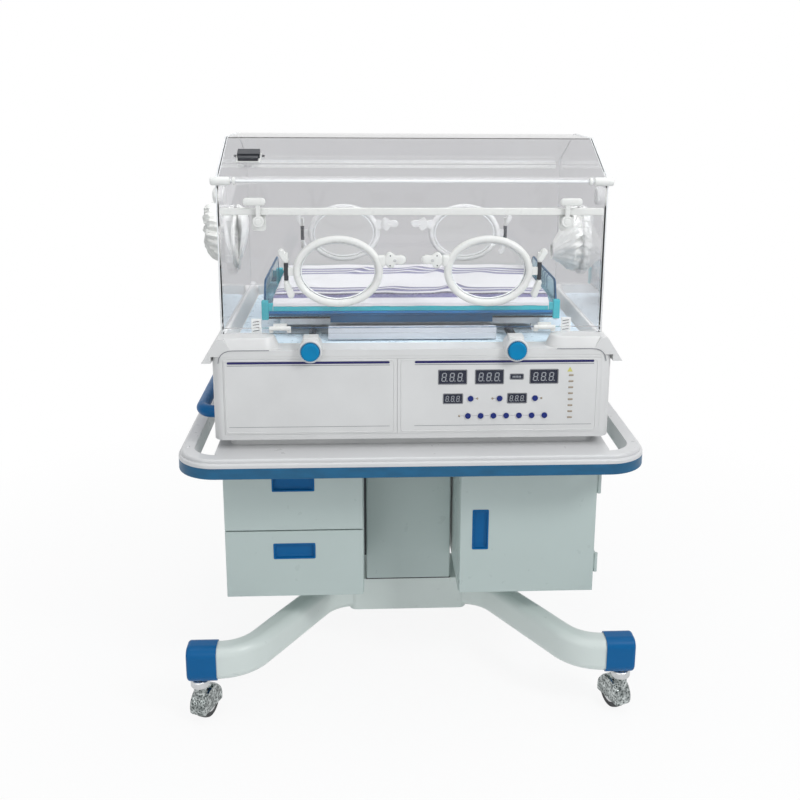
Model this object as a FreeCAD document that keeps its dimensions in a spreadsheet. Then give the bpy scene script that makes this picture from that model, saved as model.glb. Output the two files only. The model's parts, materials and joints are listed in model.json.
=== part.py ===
"""Infant incubator on a wheeled stand, as separate pieces.

Frame: +Z up, +X to the right of a nurse who faces the front, front at -Y.
The origin is on the floor under the middle of the stand. Millimetres.
"""
import FreeCAD, Part
import math
import os
import re

import Sketcher

V = FreeCAD.Vector
X_AXIS = V(1, 0, 0)
Y_AXIS = V(0, 1, 0)
Z_AXIS = V(0, 0, 1)

# Driving sizes, each written once: name, value, what it measures
SIZES = [
    ("seam", 0.3, "gap between neighbours that don't move"),
    ("running_gap", 0.05, "radial clearance of a pin in its bore"),
    ("wheel_diameter", 75, "caster wheel"),
    ("wheel_width", 30, "caster wheel, tread"),
    ("axle_diameter", 8, "caster axle"),
    ("fender_gap", 3, "air between wheel and caster hood"),
    ("fender_wall", 3, "caster hood sheet"),
    ("fender_side", 2, "air beside the wheel"),
    ("fender_low", 25, "lower edge of the caster hood"),
    ("fender_round", 2.4, "rounding of the caster hood, off its corner"),
    ("neck_radius", 16, "caster neck"),
    ("caster_toe", 22, "turn of the casters as they stand, degrees"),
    ("caster_trail", 22, "axle behind the swivel stem"),
    ("stem_diameter", 12, "caster stem"),
    ("stem_length", 40, "caster stem inside the leg"),
    ("caster_x", 503, "swivel stem from the middle, sideways"),
    ("caster_y", 360, "swivel stem from the middle, front to back"),
    ("leg_low", 118, "underside of legs and beam"),
    ("leg_width", 58, "leg section, across"),
    ("leg_height", 82, "leg section, upright"),
    ("leg_round", 20, "leg section, corner radius"),
    ("leg_root_y", 38, "leg centre line where it leaves the beam"),
    ("leg_bend", 108, "radius of both bends of a leg"),
    ("cap_length", 70, "end cap along the leg"),
    ("leg_knee_x", 200, "inner bend of a leg, from the middle"),
    ("leg_foot_x", 398, "outer bend of a leg, from the middle"),
    ("leg_end_x", 526, "end of a leg, from the middle"),
    ("cap_wall", 3.2, "end cap wall"),
    ("cap_round", 8, "rounding of the end cap's closed end"),
    ("beam_length", 310, "middle beam, along X"),
    ("beam_depth", 140, "middle beam, along Y"),
    ("beam_height", 88, "middle beam, upright"),
    ("column_width", 220, "column, along X"),
    ("column_depth", 140, "column, along Y"),
    ("plate_low", 660, "underside of the top plate"),
    ("plate_thickness", 13, "top plate"),
    ("plate_width", 894, "top plate, along X"),
    ("plate_round", 9, "top plate, corner radius"),
    ("rail_length", 1058, "rail loop outside, along X"),
    ("rail_depth", 788, "rail loop outside, along Y"),
    ("rail_bar", 30, "rail loop bar, seen from above"),
    ("rail_height", 45, "rail loop bar, upright"),
    ("rail_corner", 88, "rail loop outer corner radius"),
    ("rail_round", 5, "rounding of the rail's outer edges"),
    ("bumper_thickness", 6, "bumper strip"),
    ("bumper_height", 36, "bumper strip, upright"),
    ("cabinet_width", 332, "each cabinet, along X"),
    ("cabinet_gap", 5, "between cabinet and column"),
    ("cabinet_low", 270, "underside of both cabinets"),
    ("cabinet_front", 256, "front edge of the cabinet case"),
    ("cabinet_back", 266, "back of the cabinet case"),
    ("cabinet_wall", 4, "cabinet sheet"),
    ("front_thickness", 14, "drawer fronts and door"),
    ("front_margin", 2, "cabinet edge seen round its fronts"),
    ("drawer_split", 443, "seam between the two drawers"),
    ("front_seam", 3, "gap between neighbouring fronts"),
    ("front_high", 624, "top of the upper drawer front and the door, under the rail"),
    ("drawer_gap", 12, "drawer box to cabinet wall"),
    ("drawer_depth", 470, "drawer box, front to back"),
    ("drawer_wall", 3, "drawer box sheet"),
    ("runner_height", 10, "drawer runner"),
    ("pull_width", 98, "drawer pull, along X"),
    ("pull_height", 38, "drawer pull, upright"),
    ("pull_depth", 9, "recess of every pull"),
    ("upper_pull_z", 563, "middle of the upper drawer's pull"),
    ("lower_pull_z", 390, "middle of the lower drawer's pull"),
    ("door_pull_width", 37, "cabinet door pull, along X"),
    ("door_pull_height", 101, "cabinet door pull, upright"),
    ("door_pull_edge", 30, "cabinet door pull to the free edge"),
    ("door_pull_z", 438, "middle of the cabinet door pull"),
    ("unit_width", 902, "control unit, along X"),
    ("unit_depth", 660, "control unit, front to back"),
    ("unit_low", 695, "underside of the control unit"),
    ("unit_high", 890, "top edge of the control unit"),
    ("unit_wall", 5, "control unit casing"),
    ("unit_round", 26, "control unit upright corners"),
    ("plinth_inset", 30, "shadow gap plinth, in from the unit"),
    ("fascia_margin", 26, "casing seen beside the two front panels"),
    ("fascia_low", 708, "lower edge of the front panels"),
    ("fascia_high", 884, "upper edge of the front panels"),
    ("fascia_split", -37, "seam between the front panels, X"),
    ("fascia_thickness", 4, "front panels"),
    ("fascia_proud", 1, "front panels, out from the casing"),
    ("fascia_lap", 8, "casing ledge behind the front panels"),
    ("key_diameter", 13, "round keys"),
    ("key_height", 2.5, "key above the panel"),
    ("key_flange", 1.8, "key flange beyond its hole"),
    ("key_gap", 0.4, "key in its hole, radial"),
    ("key_travel", 1, "key travel"),
    ("key_row_z", 748, "row of seven keys"),
    ("key_row_x", 123.5, "first key of the row"),
    ("key_pitch", 29.2, "pitch of the row"),
    ("key_upper_z", 789, "three upper keys"),
    ("board_gap", 8, "board behind the panel"),
    ("board_thickness", 2, "control board"),
    ("window_lift", 0.6, "display window above the panel"),
    ("display_width", 62, "large display"),
    ("display_height", 31, "large display, upright"),
    ("display_z", 840, "middle of the large displays"),
    ("small_display_width", 42, "small display"),
    ("small_display_height", 21, "small display, upright"),
    ("deck_top", 905, "deck floor"),
    ("rim_top", 930, "raised rim that the hood stands on"),
    ("rim_width", 15, "top of the side rims"),
    ("rim_foot", 15, "slope of the side rims, inwards"),
    ("wing_low", 875, "lower edge of the deck's side wings"),
    ("wing_out", 473, "deck's side wings, from the middle"),
    ("wing_in", 437, "top of the side wings, from the middle"),
    ("corner_rim_x", 303, "inner end of the raised front corners"),
    ("slot_x", 376, "air slot from the middle"),
    ("slot_width", 26, "air slot in the deck"),
    ("slot_length", 380, "air slot in the deck"),
    ("hood_length", 864, "hood outside, along X"),
    ("hood_depth", 560, "hood outside, front to back"),
    ("hood_bend", 1278, "bend between wall and slope"),
    ("hood_top", 1358, "hood roof"),
    ("roof_depth", 200, "flat of the roof, front to back"),
    ("acrylic", 5, "clear sheet"),
    ("hood_sill", 12, "hood bar under the front door"),
    ("door_gap", 1.5, "front door in its opening"),
    ("door_high", 1215, "top of the front door"),
    ("door_bar", 15, "white bar on the front door, upright"),
    ("door_bar_depth", 6, "white bar, out from the sheet"),
    ("hinge_radius", 5, "hinge knuckles"),
    ("hinge_pin", 2.5, "hinge pin radius"),
    ("hinge_out", 7, "hinge axis out from its sheet"),
    ("hinge_length", 30, "moving knuckle"),
    ("hinge_ear", 9, "fixed knuckle on each side"),
    ("port_x", 168, "port centre from the middle"),
    ("port_z", 1075, "port centre"),
    ("port_width", 200, "port door, along X"),
    ("port_height", 161, "port door, upright"),
    ("port_tube", 8, "radius of the port door's rim"),
    ("port_lap", 15, "port opening inside the port door's edge"),
    ("port_stand", 1.5, "air behind the rim of a port door"),
    ("port_glass", 4, "clear sheet of a port door"),
    ("port_axis_x", 283, "port hinge from the middle"),
    ("port_hinge_length", 40, "port hinge, moving knuckle"),
    ("port_hinge_ear", 22, "port hinge, each fixed knuckle"),
    ("port_latch_x", 42, "port latch from the middle"),
    ("port_latch_z", 1100, "port latch"),
    ("port_latch_width", 44, "port latch"),
    ("port_latch_height", 26, "port latch, upright"),
    ("door_latch_x", 341, "front door latch from the middle"),
    ("door_latch_z", 1186, "front door latch axis"),
    ("door_latch_reach", 44, "latch axis to the middle of its grip"),
    ("latch_boss", 13, "radius of the front latch boss"),
    ("grip_width", 48, "front latch grip"),
    ("grip_height", 16, "front latch grip, upright"),
    ("latch_pin", 3, "radius of the latch pins"),
    ("iris_z", 1100, "iris port centre"),
    ("iris_hole", 72, "iris hole radius in the end wall"),
    ("iris_outer", 85, "iris ring outer radius"),
    ("iris_depth", 18, "iris ring, out from the wall"),
    ("iris_wall", 5, "iris collar wall"),
    ("sleeve_depth", 48, "iris sleeve, inwards"),
    ("sleeve_mouth", 28, "radius of the gathered mouth"),
    ("sleeve_wall", 3, "iris sleeve"),
    ("tray_length", 690, "mattress tray, along X"),
    ("tray_depth", 410, "mattress tray, front to back"),
    ("tray_low", 947.5, "underside of the mattress tray"),
    ("tray_wall", 4, "mattress tray sheet"),
    ("tray_rim", 985, "front and back edge of the tray"),
    ("tray_end", 1030, "end walls of the tray"),
    ("tray_end_step", 22, "foot of the end walls, in from the tray corners"),
    ("tray_end_slope", 26, "end walls, narrower at the top, each side"),
    ("tray_end_round", 16, "corners of the end walls"),
    ("mattress_end_gap", 21, "mattress to the end walls of its tray"),
    ("mattress_side_gap", 15, "mattress to the front and back of its tray"),
    ("mattress_thickness", 47, "mattress"),
    ("pivot_x", 300, "tilt pivots from the middle"),
    ("deck_pivot_z", 916.5, "pivot between deck and lift frame"),
    ("frame_low", 922.5, "underside of the lift frame"),
    ("frame_high", 937.5, "top of the lift frame"),
    ("tray_pivot_z", 942.5, "pivot between lift frame and tray"),
    ("tilt_knuckle", 4.5, "radius of the tilt pivots"),
    ("frame_y", 150, "lift frame rails from the middle"),
    ("frame_bar", 20, "lift frame bars"),
    ("cassette_width", 388, "cassette tray, along X"),
    ("cassette_low", 908.5, "underside of the cassette tray"),
    ("cassette_front", 255, "front of the cassette tray"),
    ("cassette_lip", 20, "thickness of its front bar"),
    ("knob_x", 230, "tilt knobs from the middle"),
    ("knob_radius", 18, "tilt knob"),
    ("knob_depth", 13, "tilt knob, front to back"),
    ("knob_housing", 24.5, "radius of the knob housing"),
    ("knob_housing_out", 12, "knob housing in front of the unit"),
    ("knob_shaft", 5, "radius of the tilt shaft"),
    ("handle_tube", 14.5, "radius of the push handle"),
    ("handle_x", 495, "push handle from the middle"),
    ("handle_y", 235, "push handle ends, front and back"),
    ("handle_z", 732, "push handle centre line"),
    ("handle_bend", 38, "push handle corners"),
    ("motor_radius", 36, "fan motor"),
    ("motor_height", 62, "fan motor"),
    ("motor_shaft", 4, "radius of the motor shaft"),
    ("impeller_radius", 66, "fan impeller"),
    ("impeller_height", 34, "fan impeller"),
    ("hub_radius", 14, "impeller hub"),
    ("blade_count", 12, "impeller blades"),
    ("blade_thickness", 2, "impeller blades"),
    ("heater_radius", 92, "heater ring"),
    ("heater_tube", 5, "heater rod radius"),
    ("tank_length", 230, "humidifier tank, along X"),
    ("tank_depth", 120, "humidifier tank, front to back"),
    ("tank_height", 110, "humidifier tank, upright"),
]

doc = FreeCAD.newDocument("infant_incubator")
sheet = doc.addObject("Spreadsheet::Sheet", "Sizes")
NAMES = set()
for line, (alias, value, _note) in enumerate(SIZES, 1):
    sheet.set(f"A{line}", str(value))
    sheet.setAlias(f"A{line}", alias)
    NAMES.add(alias)
doc.recompute()

NODES = []


def size(alias):
    """Value of a named size, read from the sheet."""
    return float(sheet.get(alias))


def bound(text):
    """Expression with every size name pointed at the sheet."""
    return re.sub(r"[a-z_]+", lambda m: "Sizes." + m.group() if m.group() in NAMES else m.group(), str(text))


def place(obj, x, y, z):
    """Bind an object's position to expressions."""
    for axis, text in zip("xyz", (x, y, z)):
        obj.setExpression("Placement.Base." + axis, bound(text))
    return obj


def node(obj, name):
    """Name a finished sub-part and list it for export."""
    obj.Label = name
    NODES.append(obj)
    return obj


def box(name, x, y, z):
    """Box between two expressions on each axis."""
    solid = doc.addObject("Part::Box", name)
    for side, (low, high) in zip(("Length", "Width", "Height"), (x, y, z)):
        solid.setExpression(side, bound(f"({high}) - ({low})"))
    return place(solid, x[0], y[0], z[0])


def middle(width):
    """Two expressions, a width apart, about zero."""
    return (f"-({width}) / 2", f"({width}) / 2")


TURN = {
    "x": FreeCAD.Rotation(Y_AXIS, 90),
    "y": FreeCAD.Rotation(X_AXIS, -90),
    "z": FreeCAD.Rotation(),
}


def rod(name, axis, radius, start, length):
    """Cylinder from a start point along +axis."""
    solid = doc.addObject("Part::Cylinder", name)
    solid.Placement.Rotation = TURN[axis]
    solid.setExpression("Radius", bound(radius))
    solid.setExpression("Height", bound(length))
    return place(solid, *start)


def ball(name, radius, centre):
    """Sphere about a point."""
    solid = doc.addObject("Part::Sphere", name)
    solid.setExpression("Radius", bound(radius))
    return place(solid, *centre)


def cut(name, base, *tools):
    """Base minus every tool."""
    tool = tools[0] if len(tools) == 1 else fuse(name + "_tools", *tools)
    result = doc.addObject("Part::Cut", name)
    result.Base = base
    result.Tool = tool
    return result


def fuse(name, *shapes):
    """Union of shapes."""
    result = doc.addObject("Part::MultiFuse", name)
    result.Shapes = list(shapes)
    return result


def common(name, first, second):
    """Shared volume of two shapes."""
    result = doc.addObject("Part::MultiCommon", name)
    result.Shapes = [first, second]
    return result


def group(name, *shapes):
    """Separate solids kept in one sub-part."""
    result = doc.addObject("Part::Compound", name)
    result.Links = list(shapes)
    return result


PLANES = {"xy": "XY_Plane", "xz": "XZ_Plane", "yz": "YZ_Plane"}
OFFSET_SIGN = {"xy": "", "xz": "-", "yz": ""}
PAD_AXIS = {"xy": Z_AXIS, "xz": Y_AXIS, "yz": X_AXIS}


def outline_sketch(body, name, plane, points, offset):
    """Closed straight-sided sketch whose corners are bound expressions."""
    sketch = body.newObject("Sketcher::SketchObject", name)
    origin = [f for f in body.Origin.OriginFeatures if f.Role == PLANES[plane]][0]
    sketch.AttachmentSupport = (origin, [""])
    sketch.MapMode = "FlatFace"
    sketch.setExpression("AttachmentOffset.Base.z", bound(f"{OFFSET_SIGN[plane]}({offset})"))
    count = len(points)
    corners = [V(math.cos(2 * math.pi * i / count), math.sin(2 * math.pi * i / count), 0) for i in range(count)]
    for i in range(count):
        sketch.addGeometry(Part.LineSegment(corners[i] * 100, corners[(i + 1) % count] * 100), False)
    for i in range(count):
        sketch.addConstraint(Sketcher.Constraint("Coincident", i, 2, (i + 1) % count, 1))
    for i, point in enumerate(points):
        for kind, text in zip(("DistanceX", "DistanceY"), point):
            index = sketch.addConstraint(Sketcher.Constraint(kind, -1, 1, i, 1, 50.0))
            sketch.setExpression(f"Constraints[{index}]", bound(text))
    return sketch


def prism(name, plane, points, span, radius=None, pick=None):
    """Padded outline between two expressions, its chosen long edges rounded."""
    body = doc.addObject("PartDesign::Body", name)
    sketch = outline_sketch(body, name + "_outline", plane, points, f"(({span[0]}) + ({span[1]})) / 2")
    pad = body.newObject("PartDesign::Pad", name + "_pad")
    pad.Profile = sketch
    pad.SideType = "Symmetric"
    pad.setExpression("Length", bound(f"({span[1]}) - ({span[0]})"))
    body.Tip = pad
    doc.recompute()
    if radius:
        round_edges(body, name + "_round", PAD_AXIS[plane], radius, pick)
    return body


def round_edges(body, name, direction, radius, pick=None):
    """Fillet the body's straight edges along a direction."""
    tip = body.Tip
    edges = []
    for i, edge in enumerate(tip.Shape.Edges, 1):
        if not isinstance(edge.Curve, Part.Line):
            continue
        if abs(abs(edge.tangentAt(edge.FirstParameter).dot(direction)) - 1) > 1e-6:
            continue
        if pick is None or pick(edge.CenterOfMass):
            edges.append(f"Edge{i}")
    fillet = body.newObject("PartDesign::Fillet", name)
    fillet.Base = (tip, edges)
    fillet.setExpression("Radius", bound(radius))
    body.Tip = fillet
    doc.recompute()
    return fillet


def round_ends(body, name, radius, pick):
    """Fillet the edge loops whose middles a test picks."""
    tip = body.Tip
    edges = [f"Edge{i}" for i, edge in enumerate(tip.Shape.Edges, 1) if pick(edge.CenterOfMass)]
    fillet = body.newObject("PartDesign::Fillet", name)
    fillet.Base = (tip, edges)
    fillet.setExpression("Radius", bound(radius))
    body.Tip = fillet
    doc.recompute()
    return body


def rectangle(x, y):
    """Corner expressions of a rectangle."""
    return [(x[0], y[0]), (x[1], y[0]), (x[1], y[1]), (x[0], y[1])]


def oval(name, width, height, centre_x, centre_z, start_y, depth):
    """Upright elliptical disc that grows towards -Y from start_y."""
    curve = doc.addObject("Part::Ellipse", name + "_curve")
    curve.Placement.Rotation = FreeCAD.Rotation(X_AXIS, 90)
    curve.setExpression("MajorRadius", bound(f"({width}) / 2"))
    curve.setExpression("MinorRadius", bound(f"({height}) / 2"))
    place(curve, centre_x, start_y, centre_z)
    disc = doc.addObject("Part::Extrusion", name)
    disc.Base = curve
    disc.DirMode = "Custom"
    disc.Dir = V(0, -1, 0)
    disc.Solid = True
    disc.setExpression("LengthFwd", bound(depth))
    return disc


def rounded_path(points, radius):
    """Straight runs joined by tangent arcs."""
    edges = []
    last = points[0]
    for before, corner, after in zip(points, points[1:], points[2:]):
        arrive = (corner - before).normalize()
        leave = (after - corner).normalize()
        turn = arrive.getAngle(leave)
        reach = radius * math.tan(turn / 2)
        start = corner - arrive * reach
        end = corner + leave * reach
        inward = (leave - arrive).normalize()
        top = corner + inward * (radius / math.cos(turn / 2) - radius)
        edges.append(Part.LineSegment(last, start).toShape())
        edges.append(Part.Arc(start, top, end).toShape())
        last = end
    edges.append(Part.LineSegment(last, points[-1]).toShape())
    return Part.Wire(edges)


def rounded_section(width, height, radius, centre, across, up):
    """Rounded rectangle wire about a centre."""
    w, h = width / 2 - radius, height / 2 - radius
    k = radius * math.sqrt(0.5)
    edges = []
    corners = [(w, h, 1, 1), (-w, h, -1, 1), (-w, -h, -1, -1), (w, -h, 1, -1)]

    def at(a, b):
        return centre + across * a + up * b

    ends = []
    for a, b, sa, sb in corners:
        side = at(a + radius * sa, b)
        top = at(a, b + radius * sb)
        first, second = (side, top) if sa * sb > 0 else (top, side)
        ends.append((first, at(a + k * sa, b + k * sb), second))
    for i, (first, mid, second) in enumerate(ends):
        edges.append(Part.Arc(first, mid, second).toShape())
        edges.append(Part.LineSegment(second, ends[(i + 1) % 4][0]).toShape())
    return Part.Wire(edges)


def feature(name, shape):
    """Piece whose shape comes from curves that no parametric feature makes."""
    solid = doc.addObject("Part::Feature", name)
    solid.Shape = shape
    return solid


def knuckles(name, axis, centre, radius, pin, length, ear):
    """Hinge set: the pin with its two ears, and the knuckle that turns on it."""
    index = "xyz".index(axis)

    def start(text):
        point = list(centre)
        point[index] = text
        return point

    mid = centre[index]
    low = f"({mid}) - ({length}) / 2 - seam - ({ear})"
    high = f"({mid}) + ({length}) / 2 + seam"
    pin_rod = rod(name + "_pin", axis, pin, start(low), f"({length}) + 2 * seam + 2 * ({ear})")
    ears = [rod(f"{name}_ear_{i}", axis, radius, start(text), ear) for i, text in enumerate((low, high))]
    bore = rod(name + "_bore", axis, f"({pin}) + running_gap", start(low), f"({length}) + 2 * seam + 2 * ({ear})")
    knuckle = rod(name + "_knuckle", axis, radius, start(f"({mid}) - ({length}) / 2"), length)
    return [pin_rod] + ears, knuckle, bore


# Stand: beam, legs, caps, casters
SIDES = {"left": -1, "right": 1}
ENDS = {"front": -1, "rear": 1}
LEG_TOP = "leg_low + leg_height"
BEAM_TOP = "leg_low + beam_height"
PLATE_TOP = "plate_low + plate_thickness"


def leg(name, sx, sy):
    """One leg: a rounded section carried along its two bends."""
    z = size("leg_low") + size("leg_height") / 2
    root_y, foot_y = sy * size("leg_root_y"), sy * size("caster_y")
    start = V(sx * (size("beam_length") / 2 - size("leg_width") / 2), root_y, z)
    points = [
        start,
        V(sx * size("leg_knee_x"), root_y, z),
        V(sx * size("leg_foot_x"), foot_y, z),
        V(sx * size("leg_end_x"), foot_y, z),
    ]
    path = rounded_path(points, size("leg_bend"))
    section = rounded_section(size("leg_width"), size("leg_height"), size("leg_round"), start, Y_AXIS, Z_AXIS)
    return feature(name, path.makePipeShell([section], True, False))


def stem_bore(name, sx, sy, low, high, gap):
    """Upright bore for a caster stem."""
    start = (f"{sx} * caster_x", f"{sy} * caster_y", low)
    return rod(name, "z", f"stem_diameter / 2 + {gap}", start, f"({high}) - ({low})")


def base_frame():
    """Beam and four legs, welded, with a bore for each stem."""
    beam = prism("beam", "xy", rectangle(middle("beam_length"), middle("beam_depth")),
                 ("leg_low", BEAM_TOP), "leg_round")
    legs = [leg(f"leg_{e}_{s}", sx, sy) for s, sx in SIDES.items() for e, sy in ENDS.items()]
    bores = [stem_bore(f"socket_{e}_{s}", sx, sy, "leg_low - 1", "leg_low + stem_length", "running_gap")
             for s, sx in SIDES.items() for e, sy in ENDS.items()]
    node(cut("frame_weldment", fuse("frame_tubes", beam, *legs), *bores), "base_frame")


def leg_cap(name, sx, sy):
    """Plastic cup over a leg's end."""
    outer_end, inner_end = "leg_end_x + seam + cap_wall", "leg_end_x + seam + cap_wall - cap_length"
    x = (f"{sx} * ({outer_end})", f"{sx} * ({inner_end})")
    y0, y1 = f"{sy} * caster_y - leg_width / 2", f"{sy} * caster_y + leg_width / 2"
    wall = "(seam + cap_wall)"
    shell = prism(name + "_shell", "yz",
                  rectangle((f"{y0} - {wall}", f"{y1} + {wall}"), (f"leg_low - {wall}", f"{LEG_TOP} + {wall}")),
                  (x[0], x[1]) if sx < 0 else (x[1], x[0]), "leg_round + cap_wall")
    round_ends(shell, name + "_dome", "cap_round", lambda centre: abs(centre.x) > size("leg_end_x"))
    mouth = f"{sx} * ({inner_end} - 1)"
    bottom = f"{sx} * (leg_end_x + seam)"
    hollow = prism(name + "_hollow", "yz",
                   rectangle((f"{y0} - seam", f"{y1} + seam"), ("leg_low - seam", f"{LEG_TOP} + seam")),
                   (bottom, mouth) if sx < 0 else (mouth, bottom), "leg_round")
    hole = stem_bore(name + "_hole", sx, sy, "leg_low - 3 * cap_wall", "leg_low + cap_wall", "seam")
    return cut(name, shell, hollow, hole)


def caster(end, side, sx, sy):
    """Swivel hood with neck, stem and axle, and the wheel inside it."""
    tag = f"{end}_{side}"
    radius = "wheel_diameter / 2"
    reach = f"{radius} + fender_gap + fender_wall"
    half = "wheel_width / 2 + fender_side + fender_wall"
    drum = rod(f"drum_{tag}", "x", reach, (f"-({half})", "caster_trail", radius), f"2 * ({half})")
    dome = ball(f"dome_{tag}", f"sqrt(({reach}) ^ 2 + ({half}) ^ 2) - fender_round", ("0", "caster_trail", radius))
    top = "leg_low - cap_wall - 2 * seam"
    neck = rod(f"neck_{tag}", "z", "neck_radius", ("0", "0", f"{radius} + neck_radius"),
               f"{top} - ({radius} + neck_radius)")
    stem = rod(f"stem_{tag}", "z", "stem_diameter / 2", ("0", "0", f"{top} - 1"),
               f"leg_low + stem_length - seam - ({top} - 1)")
    inner_half = "wheel_width / 2 + fender_side"
    hollow = rod(f"hollow_{tag}", "x", f"{radius} + fender_gap", (f"-({inner_half})", "caster_trail", radius),
                 f"2 * ({inner_half})")
    below = box(f"below_{tag}", (f"-2 * ({half})", f"2 * ({half})"),
                (f"caster_trail - 2 * ({reach})", f"caster_trail + 2 * ({reach})"), (f"-({reach})", "fender_low"))
    shell = cut(f"fender_{tag}", fuse(f"hood_blank_{tag}", common(f"bowl_{tag}", drum, dome), neck), hollow, below)
    axle = rod(f"axle_{tag}", "x", "axle_diameter / 2", (f"-({inner_half} + 1)", "caster_trail", radius),
               f"2 * ({inner_half} + 1)")
    hood = fuse(f"caster_body_{tag}", shell, axle, stem)
    tread = rod(f"tread_{tag}", "x", radius, ("-wheel_width / 2", "caster_trail", radius), "wheel_width")
    crown = ball(f"crown_{tag}", f"sqrt(({radius}) ^ 2 + (wheel_width / 2) ^ 2) - fender_round",
                 ("0", "caster_trail", radius))
    bore = rod(f"bore_{tag}", "x", "axle_diameter / 2 + running_gap", ("-wheel_width", "caster_trail", radius),
               "2 * wheel_width")
    wheel = cut(f"wheel_blank_{tag}", common(f"tyre_{tag}", tread, crown), bore)
    for piece, name in ((hood, "caster_hood"), (wheel, "caster_wheel")):
        piece.Placement.Rotation = FreeCAD.Rotation(Z_AXIS, 90)
        piece.setExpression("Placement.Rotation.Angle", bound(f"{90 + 90 * sy} + {-sx * sy} * caster_toe"))
        place(piece, f"{sx} * caster_x", f"{sy} * caster_y", "0")
        node(piece, f"{name}_{tag}")


def rail_ring(name, inside, outside, low, high):
    """Rounded loop between two insets from the rail's outer face."""
    solids = []
    for part, inset in (("outer", outside), ("inner", inside)):
        corners = rectangle(middle(f"rail_length - 2 * ({inset})"), middle(f"rail_depth - 2 * ({inset})"))
        solids.append(prism(f"{name}_{part}", "xy", corners, (low, high), f"rail_corner - ({inset})"))
    top = solids[0].Tip.Shape.BoundBox.ZMax
    round_ends(solids[0], f"{name}_lip", "rail_round", lambda centre: abs(centre.z - top) < 1e-3)
    return cut(name, *solids)


def stand():
    """Everything from the floor to the top plate, except the cabinets."""
    base_frame()
    caps = [leg_cap(f"cap_{e}_{s}", sx, sy) for s, sx in SIDES.items() for e, sy in ENDS.items()]
    node(group("caps", *caps), "leg_caps")
    for side, sx in SIDES.items():
        for end, sy in ENDS.items():
            caster(end, side, sx, sy)
    node(prism("column_box", "xy", rectangle(middle("column_width"), middle("column_depth")),
               (BEAM_TOP, "plate_low"), "cabinet_wall"), "column")
    node(prism("plate", "xy", rectangle(middle("plate_width"), middle("rail_depth - 2 * rail_bar")),
               ("plate_low", PLATE_TOP), "plate_round"), "top_plate")
    rail_low = f"{PLATE_TOP} - rail_height"
    node(rail_ring("rail", "rail_bar", "0", rail_low, PLATE_TOP), "rail_frame")
    node(rail_ring("strip", "0", "-bumper_thickness", rail_low, f"{rail_low} + bumper_height"), "bumper")


# Cabinets, drawers and door
CAB_IN = "column_width / 2 + cabinet_gap"
CAB_OUT = "column_width / 2 + cabinet_gap + cabinet_width"


def cabinet_case(name, sx, fittings):
    """Open-fronted case on one side of the column, with what is fixed in it."""
    x = sorted_span(sx, CAB_IN, CAB_OUT)
    outer = box(name + "_sheet", x, ("-cabinet_front", "cabinet_back"), ("cabinet_low", "plate_low"))
    room = box(name + "_room", (f"{x[0]} + cabinet_wall", f"{x[1]} - cabinet_wall"),
               ("-cabinet_front - 1", "cabinet_back - cabinet_wall"),
               ("cabinet_low + cabinet_wall", "plate_low - cabinet_wall"))
    header = box(name + "_header", x, ("-cabinet_front - seam - front_thickness", "-cabinet_front + cabinet_wall"),
                 ("front_high + front_seam", "plate_low"))
    return fuse(name, cut(name + "_shell", outer, room), header, *fittings)


def sorted_span(sx, near, far):
    """Low and high X of a span given by its distances from the middle."""
    return (f"-({far})", f"-({near})") if sx < 0 else (f"({near})", f"({far})")


def recess(name, x, z):
    """Pull pocket in a front."""
    face = "-(cabinet_front + seam + front_thickness)"
    return box(name, x, (f"{face} - 1", f"{face} + pull_depth"), z)


DRAWERS = {
    "lower_drawer": ("cabinet_low + front_margin", "drawer_split - front_seam / 2", "lower_pull_z"),
    "upper_drawer": ("drawer_split + front_seam / 2", "front_high", "upper_pull_z"),
}


def drawer(name, low, high, pull_z):
    """Front with its pull pocket, and the open box behind it."""
    x = (f"-({CAB_OUT}) + front_margin", f"-({CAB_IN}) - front_margin")
    back = "-(cabinet_front + seam)"
    front = box(name + "_front", x, (f"{back} - front_thickness", back), (low, high))
    centre = f"-(({CAB_IN}) + ({CAB_OUT})) / 2"
    pocket = recess(name + "_pull", (f"{centre} - pull_width / 2", f"{centre} + pull_width / 2"),
                    (f"{pull_z} - pull_height / 2", f"{pull_z} + pull_height / 2"))
    side = "cabinet_wall + drawer_gap"
    bx = (f"-({CAB_OUT}) + {side}", f"-({CAB_IN}) - ({side})")
    bz = (f"{low} + 2 * runner_height", f"{high} - 3 * runner_height")
    outer = box(name + "_tub", bx, (back, f"{back} + drawer_depth"), bz)
    room = box(name + "_room", (f"{bx[0]} + drawer_wall", f"{bx[1]} - drawer_wall"),
               (back, f"{back} + drawer_depth - drawer_wall"), (f"{bz[0]} + drawer_wall", f"{bz[1]} + 1"))
    node(fuse(name + "_body", cut(name + "_panel", front, pocket), cut(name + "_box", outer, room)), name)


def runners(name, low):
    """Two ledges that a drawer box slides on."""
    top = f"{low} + 2 * runner_height - seam"
    y = ("-cabinet_front + runner_height", "cabinet_back - cabinet_wall")
    z = (f"{top} - runner_height", top)
    reach = "cabinet_wall + drawer_gap + 2 * drawer_wall"
    return [
        box(name + "_left", (f"-({CAB_OUT}) + cabinet_wall / 2", f"-({CAB_OUT}) + {reach}"), y, z),
        box(name + "_right", (f"-({CAB_IN}) - ({reach})", f"-({CAB_IN}) - cabinet_wall / 2"), y, z),
    ]


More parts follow.
